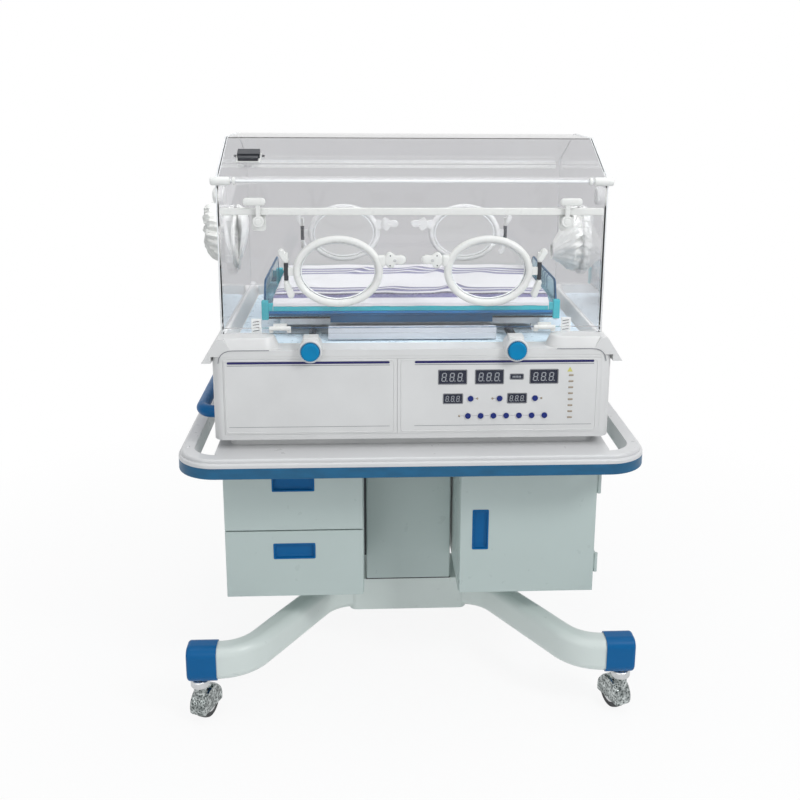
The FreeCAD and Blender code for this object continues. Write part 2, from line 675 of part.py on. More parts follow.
def cabinets():
    """Drawer cabinet on the left, door cabinet on the right."""
    ledges = []
    for name, (low, high, pull_z) in DRAWERS.items():
        drawer(name, low, high, pull_z)
        ledges += runners(name + "_runner", low)
    node(cabinet_case("drawer_case", -1, ledges), "left_cabinet")

    back = "-(cabinet_front + seam)"
    x = (f"{CAB_IN} + front_margin", f"{CAB_OUT} - front_margin")
    panel = box("door_sheet", x, (f"{back} - front_thickness", back), ("cabinet_low + front_margin", "front_high"))
    pocket = recess("door_pull", (f"{x[0]} + door_pull_edge", f"{x[0]} + door_pull_edge + door_pull_width"),
                    ("door_pull_z - door_pull_height / 2", "door_pull_z + door_pull_height / 2"))
    axis_x, axis_y = f"{CAB_OUT} + hinge_radius - 1", f"{back} - front_thickness / 2"
    fixed, moving, bores = [], [], []
    for i, z in enumerate(("cabinet_low + 2 * door_pull_width", "front_high - 2 * door_pull_width")):
        ears, knuckle, bore = knuckles(f"door_hinge_{i}", "z", (axis_x, axis_y, z), "hinge_radius",
                                       "hinge_pin", "hinge_length", "hinge_ear")
        fixed += ears
        for j, s in enumerate((-1, 1)):
            mid = f"{z} + {s} * (hinge_length / 2 + seam + hinge_ear / 2)"
            fixed.append(box(f"door_hinge_{i}_leaf_{j}", (f"{CAB_OUT} - cabinet_wall / 2", axis_x),
                             (axis_y, f"{back} + 3 * hinge_radius"), (f"{mid} - hinge_ear / 2", f"{mid} + hinge_ear / 2")))
        moving += [knuckle, box(f"door_hinge_{i}_arm", (f"{x[1]} - 1", axis_x),
                                (f"{axis_y} - hinge_radius / 2", f"{axis_y} + hinge_radius / 2"),
                                (f"{z} - hinge_length / 2", f"{z} + hinge_length / 2"))]
        bores.append(bore)
    node(cabinet_case("door_case", 1, fixed), "right_cabinet")
    node(cut("door_leaf", fuse("door_parts", panel, *moving), pocket, *bores), "cabinet_door")


# Control unit
FACE = "-(unit_depth / 2)"
PANEL_FRONT = "-(unit_depth / 2 + fascia_proud)"
PANEL_BACK = "-(unit_depth / 2 + fascia_proud - fascia_thickness)"
FLOOR = "unit_low + unit_wall"
PANELS = {
    "left_fascia": ("-(unit_width / 2 - fascia_margin)", "fascia_split - seam"),
    "control_panel": ("fascia_split + seam", "unit_width / 2 - fascia_margin"),
}
DISPLAYS = [
    ("display_a", 87.5, "display_z", "display_width", "display_height"),
    ("display_b", 171, "display_z", "display_width", "display_height"),
    ("display_c", 295, "display_z", "display_width", "display_height"),
    ("display_bar", 233, "display_z", "small_display_width * 2 / 3", "small_display_height / 2"),
    ("display_d", 89, "key_upper_z", "small_display_width", "small_display_height"),
    ("display_e", 235, "key_upper_z", "small_display_width", "small_display_height"),
]
UPPER_KEYS = [129, 195, 276]


def key_places():
    """Name, X and Z of each key."""
    row = [(f"key_{i + 1}", f"key_row_x + {i} * key_pitch", "key_row_z") for i in range(7)]
    return row + [(f"key_{i + 8}", str(x), "key_upper_z") for i, x in enumerate(UPPER_KEYS)]


def key(name, x, z):
    """Round key with the flange that holds it behind the panel."""
    cap = rod(name + "_cap", "y", "key_diameter / 2", (x, f"{PANEL_FRONT} - key_height", z),
              f"({PANEL_BACK} + seam) - ({PANEL_FRONT} - key_height)")
    flange = rod(name + "_flange", "y", "key_diameter / 2 + key_flange", (x, f"{PANEL_BACK} + seam", z), "key_flange")
    node(fuse(name + "_body", cap, flange), name)


def window(name, x, z, width, height, front, back, gap):
    """Block the size of a display, less a gap all round."""
    return box(name, (f"{x} - ({width}) / 2 + {gap}", f"{x} + ({width}) / 2 - ({gap})"), (front, back),
               (f"{z} - ({height}) / 2 + {gap}", f"{z} + ({height}) / 2 - ({gap})"))


def control_unit():
    """Casing, two front panels, keys, displays and board."""
    outer = prism("casing_outer", "xy", rectangle(middle("unit_width"), middle("unit_depth")),
                  ("unit_low", "unit_high"), "unit_round")
    room = prism("casing_room", "xy", rectangle(middle("unit_width - 2 * unit_wall"),
                                                middle("unit_depth - 2 * unit_wall")),
                 (FLOOR, "unit_high + 1"), "unit_round - unit_wall")
    plinth = prism("plinth", "xy", rectangle(middle("unit_width - 2 * plinth_inset"),
                                             middle("unit_depth - 2 * plinth_inset")),
                   (PLATE_TOP, "unit_low"), "unit_round")
    pockets = []
    for name, (x0, x1) in PANELS.items():
        pockets.append(box(name + "_seat", (f"{x0} - seam", f"{x1} + seam"), (f"{FACE} - 1", PANEL_BACK),
                           ("fascia_low - seam", "fascia_high + seam")))
        pockets.append(box(name + "_window", (f"{x0} + fascia_lap", f"{x1} - fascia_lap"),
                           (f"{FACE} - 1", f"{FACE} + 2 * unit_wall"), ("fascia_low + fascia_lap", "fascia_high - fascia_lap")))
    node(cut("casing", fuse("casing_blank", cut("casing_tub", outer, room), plinth), *pockets), "control_housing")

    plates = {name: box(name + "_plate", x, (PANEL_FRONT, PANEL_BACK), ("fascia_low", "fascia_high"))
              for name, x in PANELS.items()}
    node(plates["left_fascia"], "left_fascia")
    holes, lenses = [], []
    for name, x, z in key_places():
        holes.append(rod(name + "_hole", "y", "key_diameter / 2 + key_gap", (x, f"{PANEL_FRONT} - 1", z),
                         "fascia_thickness + 2"))
        key(name, x, z)
    board_front = f"{PANEL_BACK} + board_gap"
    for name, x, z, width, height in DISPLAYS:
        holes.append(window(name + "_hole", x, z, width, height, f"{PANEL_FRONT} - 1", f"{PANEL_BACK} + 1", "0"))
        lenses.append(window(name, x, z, width, height, f"{PANEL_FRONT} - window_lift", board_front, "seam"))
    node(cut("panel_plate", plates["control_panel"], *holes), "control_panel")
    node(group("lenses", *lenses), "display_windows")
    board_x = ("key_row_x - 3 * key_pitch", "key_row_x + 8 * key_pitch")
    board_z = ("key_row_z - key_diameter", "display_z + display_height / 2")
    posts = [rod(f"post_{i}_{j}", "y", "key_flange", (x, f"{PANEL_BACK}", z), "board_gap + 1")
             for i, x in enumerate((f"{board_x[0]} + 6", f"{board_x[1]} - 6"))
             for j, z in enumerate((f"{board_z[0]} + 6", f"{board_z[1]} - 6"))]
    card = box("card", board_x, (board_front, f"{board_front} + board_thickness"), board_z)
    node(fuse("board", card, *posts), "control_board")


def air_system():
    """Fan, heater and humidifier under the deck."""
    motor = rod("motor", "z", "motor_radius", ("0", "0", FLOOR), "motor_height")
    motor_top = f"{FLOOR} + motor_height"
    fan_low = f"{motor_top} + fender_gap"
    shaft = rod("motor_axle", "z", "motor_shaft", ("0", "0", motor_top), "fender_gap + impeller_height")
    ring_z = f"{fan_low} + impeller_height / 2"
    ring = doc.addObject("Part::Torus", "heater_ring")
    ring.setExpression("Radius1", bound("heater_radius"))
    ring.setExpression("Radius2", bound("heater_tube"))
    place(ring, "0", "0", ring_z)
    posts = []
    for i in range(3):
        x, y = math.cos(i * 2 * math.pi / 3), math.sin(i * 2 * math.pi / 3)
        posts.append(rod(f"heater_post_{i}", "z", "heater_tube / 2",
                         (f"{x:.6f} * heater_radius", f"{y:.6f} * heater_radius", FLOOR), f"{ring_z} - ({FLOOR})"))
    node(group("air_drive", fuse("motor_body", motor, shaft), fuse("heater", ring, *posts)), "warm_air_unit")

    hub = rod("hub", "z", "hub_radius", ("0", "0", fan_low), "impeller_height")
    disc = rod("fan_disc", "z", "impeller_radius", ("0", "0", fan_low), "blade_thickness")
    blades = []
    for i in range(int(size("blade_count"))):
        angle = 360.0 * i / size("blade_count")
        c, s = math.cos(math.radians(angle)), math.sin(math.radians(angle))
        blade = doc.addObject("Part::Box", f"blade_{i}")
        blade.Placement.Rotation = FreeCAD.Rotation(Z_AXIS, angle)
        blade.setExpression("Length", bound("impeller_radius - hub_radius + 1"))
        blade.setExpression("Width", bound("blade_thickness"))
        blade.setExpression("Height", bound("impeller_height"))
        root, half = "(hub_radius - 1)", "blade_thickness / 2"
        blades.append(place(blade, f"{c:.6f} * {root} + {s:.6f} * {half}", f"{s:.6f} * {root} - {c:.6f} * {half}", fan_low))
    bore = rod("fan_bore", "z", "motor_shaft + running_gap", ("0", "0", f"{fan_low} - 1"), "impeller_height + 2")
    node(cut("fan_wheel", fuse("fan_parts", hub, disc, *blades), bore), "air_impeller")

    left = "-(unit_width / 2) + 2 * fascia_margin"
    front = f"{PANEL_BACK} + 3 * board_gap"
    tank = prism("tank_shell", "xy", rectangle((left, f"{left} + tank_length"), (front, f"{front} + tank_depth")),
                 (FLOOR, f"{FLOOR} + tank_height"), "hinge_ear")
    neck = rod("tank_neck", "z", "hub_radius", (f"{left} + tank_length / 2", f"{front} + tank_depth / 2",
                                                f"{FLOOR} + tank_height - 1"), "runner_height")
    node(fuse("tank", tank, neck), "humidifier_tank")


def push_handle():
    """Bent tube on the left side of the control unit, with a flange at each end."""
    root = V(-size("unit_width") / 2, -size("handle_y"), size("handle_z"))
    out = -size("handle_x")
    points = [root, V(out, root.y, root.z), V(out, -root.y, root.z), V(root.x, -root.y, root.z)]
    radius = min(size("handle_bend"), 0.9 * abs(out - root.x))
    path = rounded_path(points, radius)
    section = Part.Wire(Part.Circle(root, X_AXIS, size("handle_tube")).toShape())
    tube = feature("handle_tube", path.makePipeShell([section], True, False))
    flanges = [rod(f"handle_flange_{e}", "x", "handle_tube * 1.5", ("-unit_width / 2 - unit_wall", f"{sy} * handle_y",
                                                                   "handle_z"), "unit_wall") for e, sy in ENDS.items()]
    node(fuse("handle", tube, *flanges), "push_handle")


# Deck, tilt gear and bed
HOOD_LOW = "rim_top + seam"
HOOD_FACE = "hood_depth / 2"
DECK_LOW = "unit_high + seam"
HOOD_AXIS = ("0", f"{HOOD_FACE} + hinge_out", f"{HOOD_LOW} + hinge_radius + 1")
SILL_TOP = f"{HOOD_LOW} + hood_sill"
DOOR_AXIS = ("0", f"-({HOOD_FACE} + hinge_out)", f"{SILL_TOP} + 2")


def deck():
    """Moulded deck that covers the control unit and carries hood and bed."""
    side = "unit_width / 2 + seam"
    top_in, foot = "wing_in - rim_width", "wing_in - rim_width - rim_foot"
    right = [(f"{side}", DECK_LOW), (f"{side}", "wing_low"), ("wing_out", "wing_low"), ("wing_in", "rim_top"),
             (top_in, "rim_top"), (foot, "deck_top")]
    left = [(f"-({x})", z) for x, z in reversed(right)]
    shell = prism("deck_profile", "xz", right + left, middle("unit_depth"), "unit_wall",
                  lambda c: c.z > size("rim_top") - 1)
    pieces = [shell, box("rear_ridge", middle(f"2 * ({foot} + 1)"), (f"{HOOD_FACE} - hood_sill",
                                                                    f"{HOOD_FACE} + 2 * hinge_out"), ("deck_top - 1", "rim_top"))]
    for s, sx in SIDES.items():
        x = sorted_span(sx, "corner_rim_x", f"{foot} + rim_foot")
        slope = prism(f"corner_{s}", "yz",
                      [(f"{FACE}", "deck_top - 1"), (f"-{HOOD_FACE} + 2 * hood_sill", "deck_top - 1"),
                       (f"-{HOOD_FACE} + hood_sill", "rim_top"), (f"{FACE} + hood_sill", "rim_top")], x)
        pieces.append(slope)
    cuts = []
    for s, sx in SIDES.items():
        centre = f"{sx} * slot_x"
        cuts.append(box(f"slot_{s}", (f"{centre} - slot_width / 2", f"{centre} + slot_width / 2"),
                        middle("slot_length"), (f"{DECK_LOW} - 1", "deck_top + 1")))
        channel = "knob_shaft + 3 * running_gap"
        kx = f"{sx} * knob_x"
        housing = rod(f"housing_{s}", "y", "knob_housing", (kx, f"{FACE} - knob_housing_out", "deck_top"),
                      "knob_housing_out + 2 * knob_housing")
        under = box(f"housing_under_{s}", (f"{kx} - 2 * knob_housing", f"{kx} + 2 * knob_housing"),
                    (f"{PANEL_FRONT} - seam", f"{FACE} + 4 * knob_housing"), ("deck_top - 2 * knob_housing", DECK_LOW))
        pieces.append(cut(f"knob_mount_{s}", housing, under))
        cuts.append(rod(f"shaft_bore_{s}", "y", "knob_shaft + running_gap",
                        (kx, f"{FACE} - knob_housing_out - 1", "deck_top"), "knob_housing_out + 2 * knob_housing + 2"))
        cuts.append(box(f"channel_{s}", (f"{kx} - ({channel})", f"{kx} + {channel}"),
                        (f"{FACE} + 2 * knob_housing - 1", "-frame_y + frame_bar"), (f"deck_top - ({channel})", "deck_top + 1")))
    for s, sy in ENDS.items():
        pieces.append(box(f"rest_post_{s}", ("pivot_x - frame_bar / 2", "pivot_x + frame_bar / 2"),
                          (f"{sy} * frame_y - frame_bar / 2", f"{sy} * frame_y + frame_bar / 2"),
                          ("deck_top - 1", "frame_low - seam")))
        fixed, _knuckle, _bore = knuckles(f"deck_pivot_{s}", "y", ("-pivot_x", f"{sy} * (frame_y - frame_bar)", "deck_pivot_z"),
                                          "tilt_knuckle", "hinge_pin / 2", "hinge_length / 2", "hinge_ear")
        pieces += fixed
        pieces.append(pedestal(f"deck_pivot_{s}_foot", "-pivot_x", f"{sy} * (frame_y - frame_bar)", "tilt_knuckle",
                               "hinge_length / 2", "hinge_ear", ("deck_top - 1", "deck_pivot_z")))
    for s, sx in SIDES.items():
        centre = (f"{sx} * pivot_x", HOOD_AXIS[1], HOOD_AXIS[2])
        fixed, _knuckle, _bore = knuckles(f"hood_pivot_{s}", "x", centre, "hinge_radius", "hinge_pin", "hinge_length", "hinge_ear")
        pieces += fixed
        for j, t in enumerate((-1, 1)):
            mid = f"{centre[0]} + {t} * (hinge_length / 2 + seam + hinge_ear / 2)"
            pieces.append(box(f"hood_pivot_{s}_foot_{j}", (f"{mid} - hinge_ear / 2", f"{mid} + hinge_ear / 2"),
                              (f"{HOOD_AXIS[1]} - hinge_radius", f"{HOOD_AXIS[1]} + hinge_radius"), ("rim_top - 1", HOOD_AXIS[2])))
    node(cut("deck_moulding", fuse("deck_blank", *pieces), *cuts), "deck")


def pedestal(name, x, y, radius, length, ear, z):
    """Two feet under the ears of a hinge whose axis runs along Y."""
    feet = []
    for j, t in enumerate((-1, 1)):
        mid = f"{y} + {t} * ({length} / 2 + seam + {ear} / 2)"
        feet.append(box(f"{name}_{j}", (f"{x} - {radius}", f"{x} + {radius}"), (f"{mid} - {ear} / 2", f"{mid} + {ear} / 2"), z))
    return fuse(name, *feet)


def bed():
    """Lift frame, cassette tray, mattress tray, mattress and tilt knobs."""
    half = "frame_bar / 2"
    bars = []
    for s, t in ENDS.items():
        bars.append(box(f"frame_rail_{s}", middle("2 * (pivot_x + frame_bar / 2)"),
                        (f"{t} * frame_y - {half}", f"{t} * frame_y + {half}"), ("frame_low", "frame_high")))
    for s, t in SIDES.items():
        bars.append(box(f"frame_cross_{s}", (f"{t} * pivot_x - {half}", f"{t} * pivot_x + {half}"),
                        middle("2 * frame_y"), ("frame_low", "frame_high")))
    bores, tray_knuckles, tray_bores = [], [], []
    for s, t in ENDS.items():
        y = f"{t} * (frame_y - frame_bar)"
        _fixed, knuckle, bore = knuckles(f"frame_pivot_{s}", "y", ("-pivot_x", y, "deck_pivot_z"), "tilt_knuckle",
                                         "hinge_pin / 2", "hinge_length / 2", "hinge_ear")
        bars += [knuckle, box(f"frame_pivot_{s}_web", ("-pivot_x - tilt_knuckle", "-pivot_x + tilt_knuckle"),
                              (f"{y} - hinge_length / 4", f"{y} + hinge_length / 4"), ("deck_pivot_z", "frame_low + 1"))]
        bores.append(bore)
        fixed, knuckle, bore = knuckles(f"tray_pivot_{s}", "y", ("pivot_x", y, "tray_pivot_z"), "tilt_knuckle",
                                        "hinge_pin / 2", "hinge_length / 2", "hinge_ear")
        bars += fixed + [pedestal(f"tray_pivot_{s}_foot", "pivot_x", y, "tilt_knuckle", "hinge_length / 2", "hinge_ear",
                                  ("frame_high - 1", "tray_pivot_z"))]
        tray_knuckles += [knuckle, box(f"tray_pivot_{s}_web", ("pivot_x - tilt_knuckle", "pivot_x + tilt_knuckle"),
                                       (f"{y} - hinge_length / 4", f"{y} + hinge_length / 4"), ("tray_pivot_z", "tray_low + 1"))]
        tray_bores.append(bore)
    node(cut("lift_frame_body", fuse("lift_frame_bars", *bars), *bores), "lift_frame")

    plate = box("cassette_plate", middle("cassette_width"), ("-cassette_front + 1", "frame_y + frame_bar / 2"),
                ("cassette_low", "frame_low - seam / 3"))
    pan = box("cassette_pan", middle("cassette_width - 2 * cassette_lip"), ("-cassette_front + 2 * cassette_lip", "frame_y - frame_bar"),
              ("frame_low - hinge_radius", "frame_low + 1"))
    lip = box("cassette_bar", middle("cassette_width"), ("-cassette_front", "-cassette_front + cassette_lip"),
              ("cassette_low", "frame_high"))
    node(fuse("cassette", cut("cassette_body", plate, pan), lip), "cassette_tray")

    outer = box("tray_tub", middle("tray_length"), middle("tray_depth"), ("tray_low", "tray_rim"))
    foot = "tray_depth / 2 - tray_end_step"
    panel = [(f"-({foot})", "tray_low"), (foot, "tray_low"), (f"{foot} - tray_end_slope", "tray_end"),
             (f"-({foot} - tray_end_slope)", "tray_end")]
    ends = [prism(f"tray_end_{s}", "yz", panel, sorted_span(t, "tray_length / 2 - tray_wall", "tray_length / 2"),
                  "tray_end_round", lambda centre: centre.z > size("tray_rim")) for s, t in SIDES.items()]
    room = box("tray_room", middle("tray_length - 2 * tray_wall"), middle("tray_depth - 2 * tray_wall"),
               ("tray_low + tray_wall", "tray_end + 1"))
    tub = cut("tray_shell", fuse("tray_blank", outer, *ends), room)
    node(cut("tray_body", fuse("tray_parts", tub, *tray_knuckles), *tray_bores), "mattress_tray")
    foam = rectangle(middle("tray_length - 2 * (tray_wall + mattress_end_gap)"),
                     middle("tray_depth - 2 * (tray_wall + mattress_side_gap)"))
    node(prism("mattress_foam", "xy", foam,
               ("tray_low + tray_wall + seam", "tray_low + tray_wall + seam + mattress_thickness"),
               "frame_bar"), "mattress")

    for s, sx in SIDES.items():
        kx = f"{sx} * knob_x"
        front = f"{FACE} - knob_housing_out - seam - knob_depth"
        disc = rod(f"knob_disc_{s}", "y", "knob_radius", (kx, front, "deck_top"), "knob_depth")
        shaft = rod(f"knob_rod_{s}", "y", "knob_shaft", (kx, front, "deck_top"), f"-frame_y - ({front})")
        node(fuse(f"knob_body_{s}", disc, shaft), f"tilt_knob_{s}")


# Hood, front door, ports, latches
def port_holes(name, sy):
    """Two oval openings through a wall at the front or the rear."""
    start = f"{sy} * {HOOD_FACE} + 2 * acrylic"
    return [oval(f"{name}_{s}", "port_width - 2 * port_lap", "port_height - 2 * port_lap",
                 f"{sx} * port_x", "port_z", start, "4 * acrylic") for s, sx in SIDES.items()]


def port_axis(sx, sy):
    """Upright hinge line of a port door."""
    return (f"{sx} * port_axis_x", f"{sy} * ({HOOD_FACE} + port_stand + port_tube)", "port_z")


def port_fixed(name, sx, sy):
    """Ears that carry a port door, with the blocks that hold them off the wall."""
    axis = port_axis(sx, sy)
    ears, _knuckle, _bore = knuckles(name, "z", axis, "hinge_radius", "hinge_pin", "port_hinge_length", "port_hinge_ear")
    blocks = []
    near, far = f"{sy} * ({HOOD_FACE} - 1)", axis[1]
    for j, t in enumerate((-1, 1)):
        mid = f"port_z + {t} * (port_hinge_length / 2 + seam + port_hinge_ear / 2)"
        blocks.append(box(f"{name}_block_{j}", (f"{axis[0]} - hinge_pin", f"{axis[0]} + hinge_pin"),
                          (far, near) if sy < 0 else (near, far), (f"{mid} - port_hinge_ear / 2", f"{mid} + port_hinge_ear / 2")))
    return ears + blocks


def port_door(name, sx, sy):
    """Clear oval with a round rim and its hinge knuckle."""
    cx = f"{sx} * port_x"
    rim_y = f"{sy} * ({HOOD_FACE} + port_stand + port_tube)"
    path = doc.addObject("Part::Ellipse", name + "_path")
    path.Placement.Rotation = FreeCAD.Rotation(X_AXIS, 90)
    path.setExpression("MajorRadius", bound("port_width / 2 - port_tube"))
    path.setExpression("MinorRadius", bound("port_height / 2 - port_tube"))
    place(path, cx, rim_y, "port_z")
    section = doc.addObject("Part::Circle", name + "_section")
    section.setExpression("Radius", bound("port_tube"))
    place(section, f"{cx} + port_width / 2 - port_tube", rim_y, "port_z")
    rim = doc.addObject("Part::Sweep", name + "_rim")
    rim.Sections = [section]
    rim.Spine = (path, ["Edge1"])
    rim.Solid = True
    glass = oval(name + "_glass", "port_width - 2 * port_tube", "port_height - 2 * port_tube", cx, "port_z",
                 f"{rim_y} + port_glass / 2", "port_glass")
    axis = port_axis(sx, sy)
    _ears, knuckle, bore = knuckles(name + "_turn", "z", axis, "hinge_radius", "hinge_pin", "port_hinge_length", "port_hinge_ear")
    arm = box(name + "_arm", sorted_span(sx, "port_x + port_width / 2 - port_tube", "port_axis_x"),
              (f"{rim_y} - hinge_radius / 2", f"{rim_y} + hinge_radius / 2"), ("port_z - hinge_ear", "port_z + hinge_ear"))
    node(cut(name + "_body", fuse(name + "_parts", glass, rim, knuckle, arm), bore), name)


def latch_bore(name, x, z, sy):
    """Bore through a wall for a latch pin."""
    return rod(name, "y", "latch_pin + running_gap", (x, f"{sy} * {HOOD_FACE} - 2 * acrylic", z), "4 * acrylic")


def latch_pin(name, x, z, sy):
    """Pin of a latch, from just inside the wall to its body."""
    inner, outer = f"{HOOD_FACE} - acrylic", f"{HOOD_FACE} + port_stand + 1"
    low = f"-({outer})" if sy < 0 else inner
    return rod(name, "y", "latch_pin", (x, low, z), f"({outer}) - ({inner})")


def port_latch(name, sx, sy):
    """Rounded turn latch beside a port door."""
    x = f"{sx} * port_latch_x"
    near, far = f"{HOOD_FACE} + seam", f"{HOOD_FACE} + seam + 2 * hinge_out"
    span = (f"-({far})", f"-({near})") if sy < 0 else (near, far)
    body = prism(name + "_block", "xz",
                 rectangle((f"{x} - port_latch_width / 2", f"{x} + port_latch_width / 2"),
                           ("port_latch_z - port_latch_height / 2", "port_latch_z + port_latch_height / 2")),
                 span, "port_latch_height / 2 - 1")
    node(fuse(name + "_body", body, latch_pin(name + "_pin", x, "port_latch_z", sy)), name)


def door_latch(name, sx):
    """Turn latch of the front door: boss, stem and grip."""
    x = f"{sx} * door_latch_x"
    y = (f"-({HOOD_FACE} + door_bar_depth + 2 * seam + 2 * hinge_radius)", f"-({HOOD_FACE} + door_bar_depth + 2 * seam)")
    boss = rod(name + "_boss", "y", "latch_boss", (x, y[0], "door_latch_z"), f"-({HOOD_FACE} + seam) - ({y[0]})")
    top = "door_latch_z + door_latch_reach"
    stem = box(name + "_stem", (f"{x} - hinge_radius", f"{x} + hinge_radius"), y, ("door_latch_z", top))
    grip = prism(name + "_grip", "xz",
                 rectangle((f"{x} - grip_width / 2", f"{x} + grip_width / 2"),
                           (f"{top} - grip_height / 2", f"{top} + grip_height / 2")), y, "grip_height / 2 - 1")
    pin = rod(name + "_pin", "y", "latch_pin", (x, f"-({HOOD_FACE} + seam) - 1", "door_latch_z"), "acrylic + seam + 1")
    node(fuse(name + "_body", boss, stem, grip, pin), name)


def hood():
    """Clear hood with sloped shoulders, open in front for its door."""
    half, roof = HOOD_FACE, "roof_depth / 2"
    points = [(f"-{half}", HOOD_LOW), (half, HOOD_LOW), (half, "hood_bend"), (roof, "hood_top"),
              (f"-{roof}", "hood_top"), (f"-{half}", "hood_bend")]
    rise = f"((hood_top - hood_bend) / ({half} - {roof}))"
    slant = f"sqrt(1 + {rise} ^ 2)"
    shoulder = f"hood_bend + acrylic * {rise} - acrylic * {slant}"
    inner_roof = f"({half} - (hood_top - hood_bend - acrylic + acrylic * {slant}) / {rise})"
    wall = f"({half} - acrylic)"
    hollow = [(f"-{wall}", f"{HOOD_LOW} - 1"), (wall, f"{HOOD_LOW} - 1"), (wall, shoulder), (inner_roof, "hood_top - acrylic"),
              (f"-{inner_roof}", "hood_top - acrylic"), (f"-{wall}", shoulder)]

    def bends(centre):
        return centre.z > size("hood_bend") - 2 * size("acrylic")

    outside = prism("hood_outside", "yz", points, middle("hood_length"), "frame_bar", bends)
    inside = prism("hood_inside", "yz", hollow, middle("hood_length - 2 * acrylic"), "frame_bar - acrylic", bends)
    body = cut("hood_walls", outside, inside)

    cuts = [box("door_opening", middle("hood_length - 2 * acrylic - 2 * door_gap"),
                (f"-{half} - 1", f"-{half} + 2 * acrylic"), (SILL_TOP, "door_high + door_gap"))]
    cuts += port_holes("rear_hole", 1)
    pieces = [body]
    for s, sx in SIDES.items():
        cuts.append(rod(f"iris_cut_{s}", "x", "iris_hole", (f"{sx} * hood_length / 2 - 2 * acrylic", "0", "iris_z"), "4 * acrylic"))
        cuts.append(latch_bore(f"rear_latch_bore_{s}", f"{sx} * port_latch_x", "port_latch_z", 1))
        pieces += port_fixed(f"rear_ears_{s}", sx, 1)
        centre = (f"{sx} * pivot_x", HOOD_AXIS[1], HOOD_AXIS[2])
        _ears, knuckle, bore = knuckles(f"hood_turn_{s}", "x", centre, "hinge_radius", "hinge_pin", "hinge_length", "hinge_ear")
        pieces += [knuckle, box(f"hood_turn_{s}_arm", (f"{centre[0]} - hinge_length / 2", f"{centre[0]} + hinge_length / 2"),
                                (f"{HOOD_FACE} - 1", HOOD_AXIS[1]), (HOOD_AXIS[2], f"{HOOD_AXIS[2]} + 2 * hinge_radius"))]
        cuts.append(bore)
    shell = cut("hood_panels", fuse("hood_parts", *pieces), *cuts)
    ears = []
    for s, sx in SIDES.items():
        centre = (f"{sx} * pivot_x", DOOR_AXIS[1], DOOR_AXIS[2])
        fixed, _knuckle, _bore = knuckles(f"front_pivot_{s}", "x", centre, "hinge_radius", "hinge_pin", "hinge_length", "hinge_ear")
        ears += fixed
        for j, t in enumerate((-1, 1)):
            mid = f"{centre[0]} + {t} * (hinge_length / 2 + seam + hinge_ear / 2)"
            ears.append(box(f"front_pivot_{s}_foot_{j}", (f"{mid} - hinge_ear / 2", f"{mid} + hinge_ear / 2"),
                            (DOOR_AXIS[1], f"-{half} + 1"), (f"{DOOR_AXIS[2]} - 2 * hinge_radius", SILL_TOP)))
    node(fuse("hood_assembly", shell, *ears), "hood_shell")

    sleeves = []
    for s, sx in SIDES.items():
        face = f"{sx} * hood_length / 2"
        ring = rod(f"iris_rim_{s}", "x", "iris_outer", (f"{face} + seam" if sx > 0 else f"{face} - seam - iris_depth", "0", "iris_z"), "iris_depth")
        inner = f"{face} - {sx} * acrylic"
        collar = rod(f"iris_collar_{s}", "x", "iris_hole - seam", (inner if sx > 0 else f"{face} - 1", "0", "iris_z"), "acrylic + 1")
        hole = rod(f"iris_bore_{s}", "x", "iris_hole - iris_wall", (f"{face} - 2 * iris_depth", "0", "iris_z"), "4 * iris_depth")
        node(cut(f"iris_turn_{s}", fuse(f"iris_parts_{s}", ring, collar), hole), f"iris_ring_{s}")
        sleeves.append(sleeve(f"sleeve_{s}", sx, f"{inner} - {sx} * seam"))
    node(group("sleeves", *sleeves), "iris_sleeves")


def sleeve(name, sx, start):
    """Gathered sleeve: a hollow cone from the wall to its small mouth."""
    cones = []
    for part, shrink in (("outer", "0"), ("inner", "sleeve_wall")):
        cone = doc.addObject("Part::Cone", f"{name}_{part}")
        cone.Placement.Rotation = FreeCAD.Rotation(Y_AXIS, -90 * sx)
        cone.setExpression("Radius1", bound(f"iris_hole + iris_wall - {shrink}"))
        cone.setExpression("Radius2", bound(f"sleeve_mouth + sleeve_wall - {shrink}"))
        cone.setExpression("Height", bound("sleeve_depth"))
        cones.append(place(cone, start, "0", "iris_z"))
    return cut(name, *cones)


def front_door():
    """Clear drop-down door with its white bar, ports and latches."""
    face = f"-{HOOD_FACE}"
    width = "hood_length - 2 * acrylic - 4 * door_gap"
    sheet_box = box("door_sheet_clear", middle(width), (face, f"{face} + acrylic"), (f"{SILL_TOP} + door_gap", "door_high"))
    bar = box("door_top_bar", middle(width), (f"{face} - door_bar_depth", f"{face} + acrylic"), ("door_high - door_bar", "door_high"))
    pieces, cuts = [sheet_box, bar], port_holes("front_hole", -1)
    for s, sx in SIDES.items():
        centre = (f"{sx} * pivot_x", DOOR_AXIS[1], DOOR_AXIS[2])
        _ears, knuckle, bore = knuckles(f"front_turn_{s}", "x", centre, "hinge_radius", "hinge_pin", "hinge_length", "hinge_ear")
        pieces += [knuckle, box(f"front_turn_{s}_arm", (f"{centre[0]} - hinge_length / 2", f"{centre[0]} + hinge_length / 2"),
                                (DOOR_AXIS[1], f"{face} + 1"), (DOOR_AXIS[2], f"{DOOR_AXIS[2]} + 2 * hinge_radius"))]
        cuts += [bore, latch_bore(f"front_latch_bore_{s}", f"{sx} * port_latch_x", "port_latch_z", -1),
                 latch_bore(f"door_latch_bore_{s}", f"{sx} * door_latch_x", "door_latch_z", -1)]
    panel = cut("front_door_panel", fuse("front_door_parts", *pieces), *cuts)
    ears = []
    for s, sx in SIDES.items():
        ears += port_fixed(f"front_ears_{s}", sx, -1)
    node(fuse("front_door_body", panel, *ears), "front_door")
    for s, sx in SIDES.items():
        door_latch(f"door_latch_{s}", sx)
        for e, sy in ENDS.items():
            port_door(f"port_door_{e}_{s}", sx, sy)
            port_latch(f"port_latch_{e}_{s}", sx, sy)


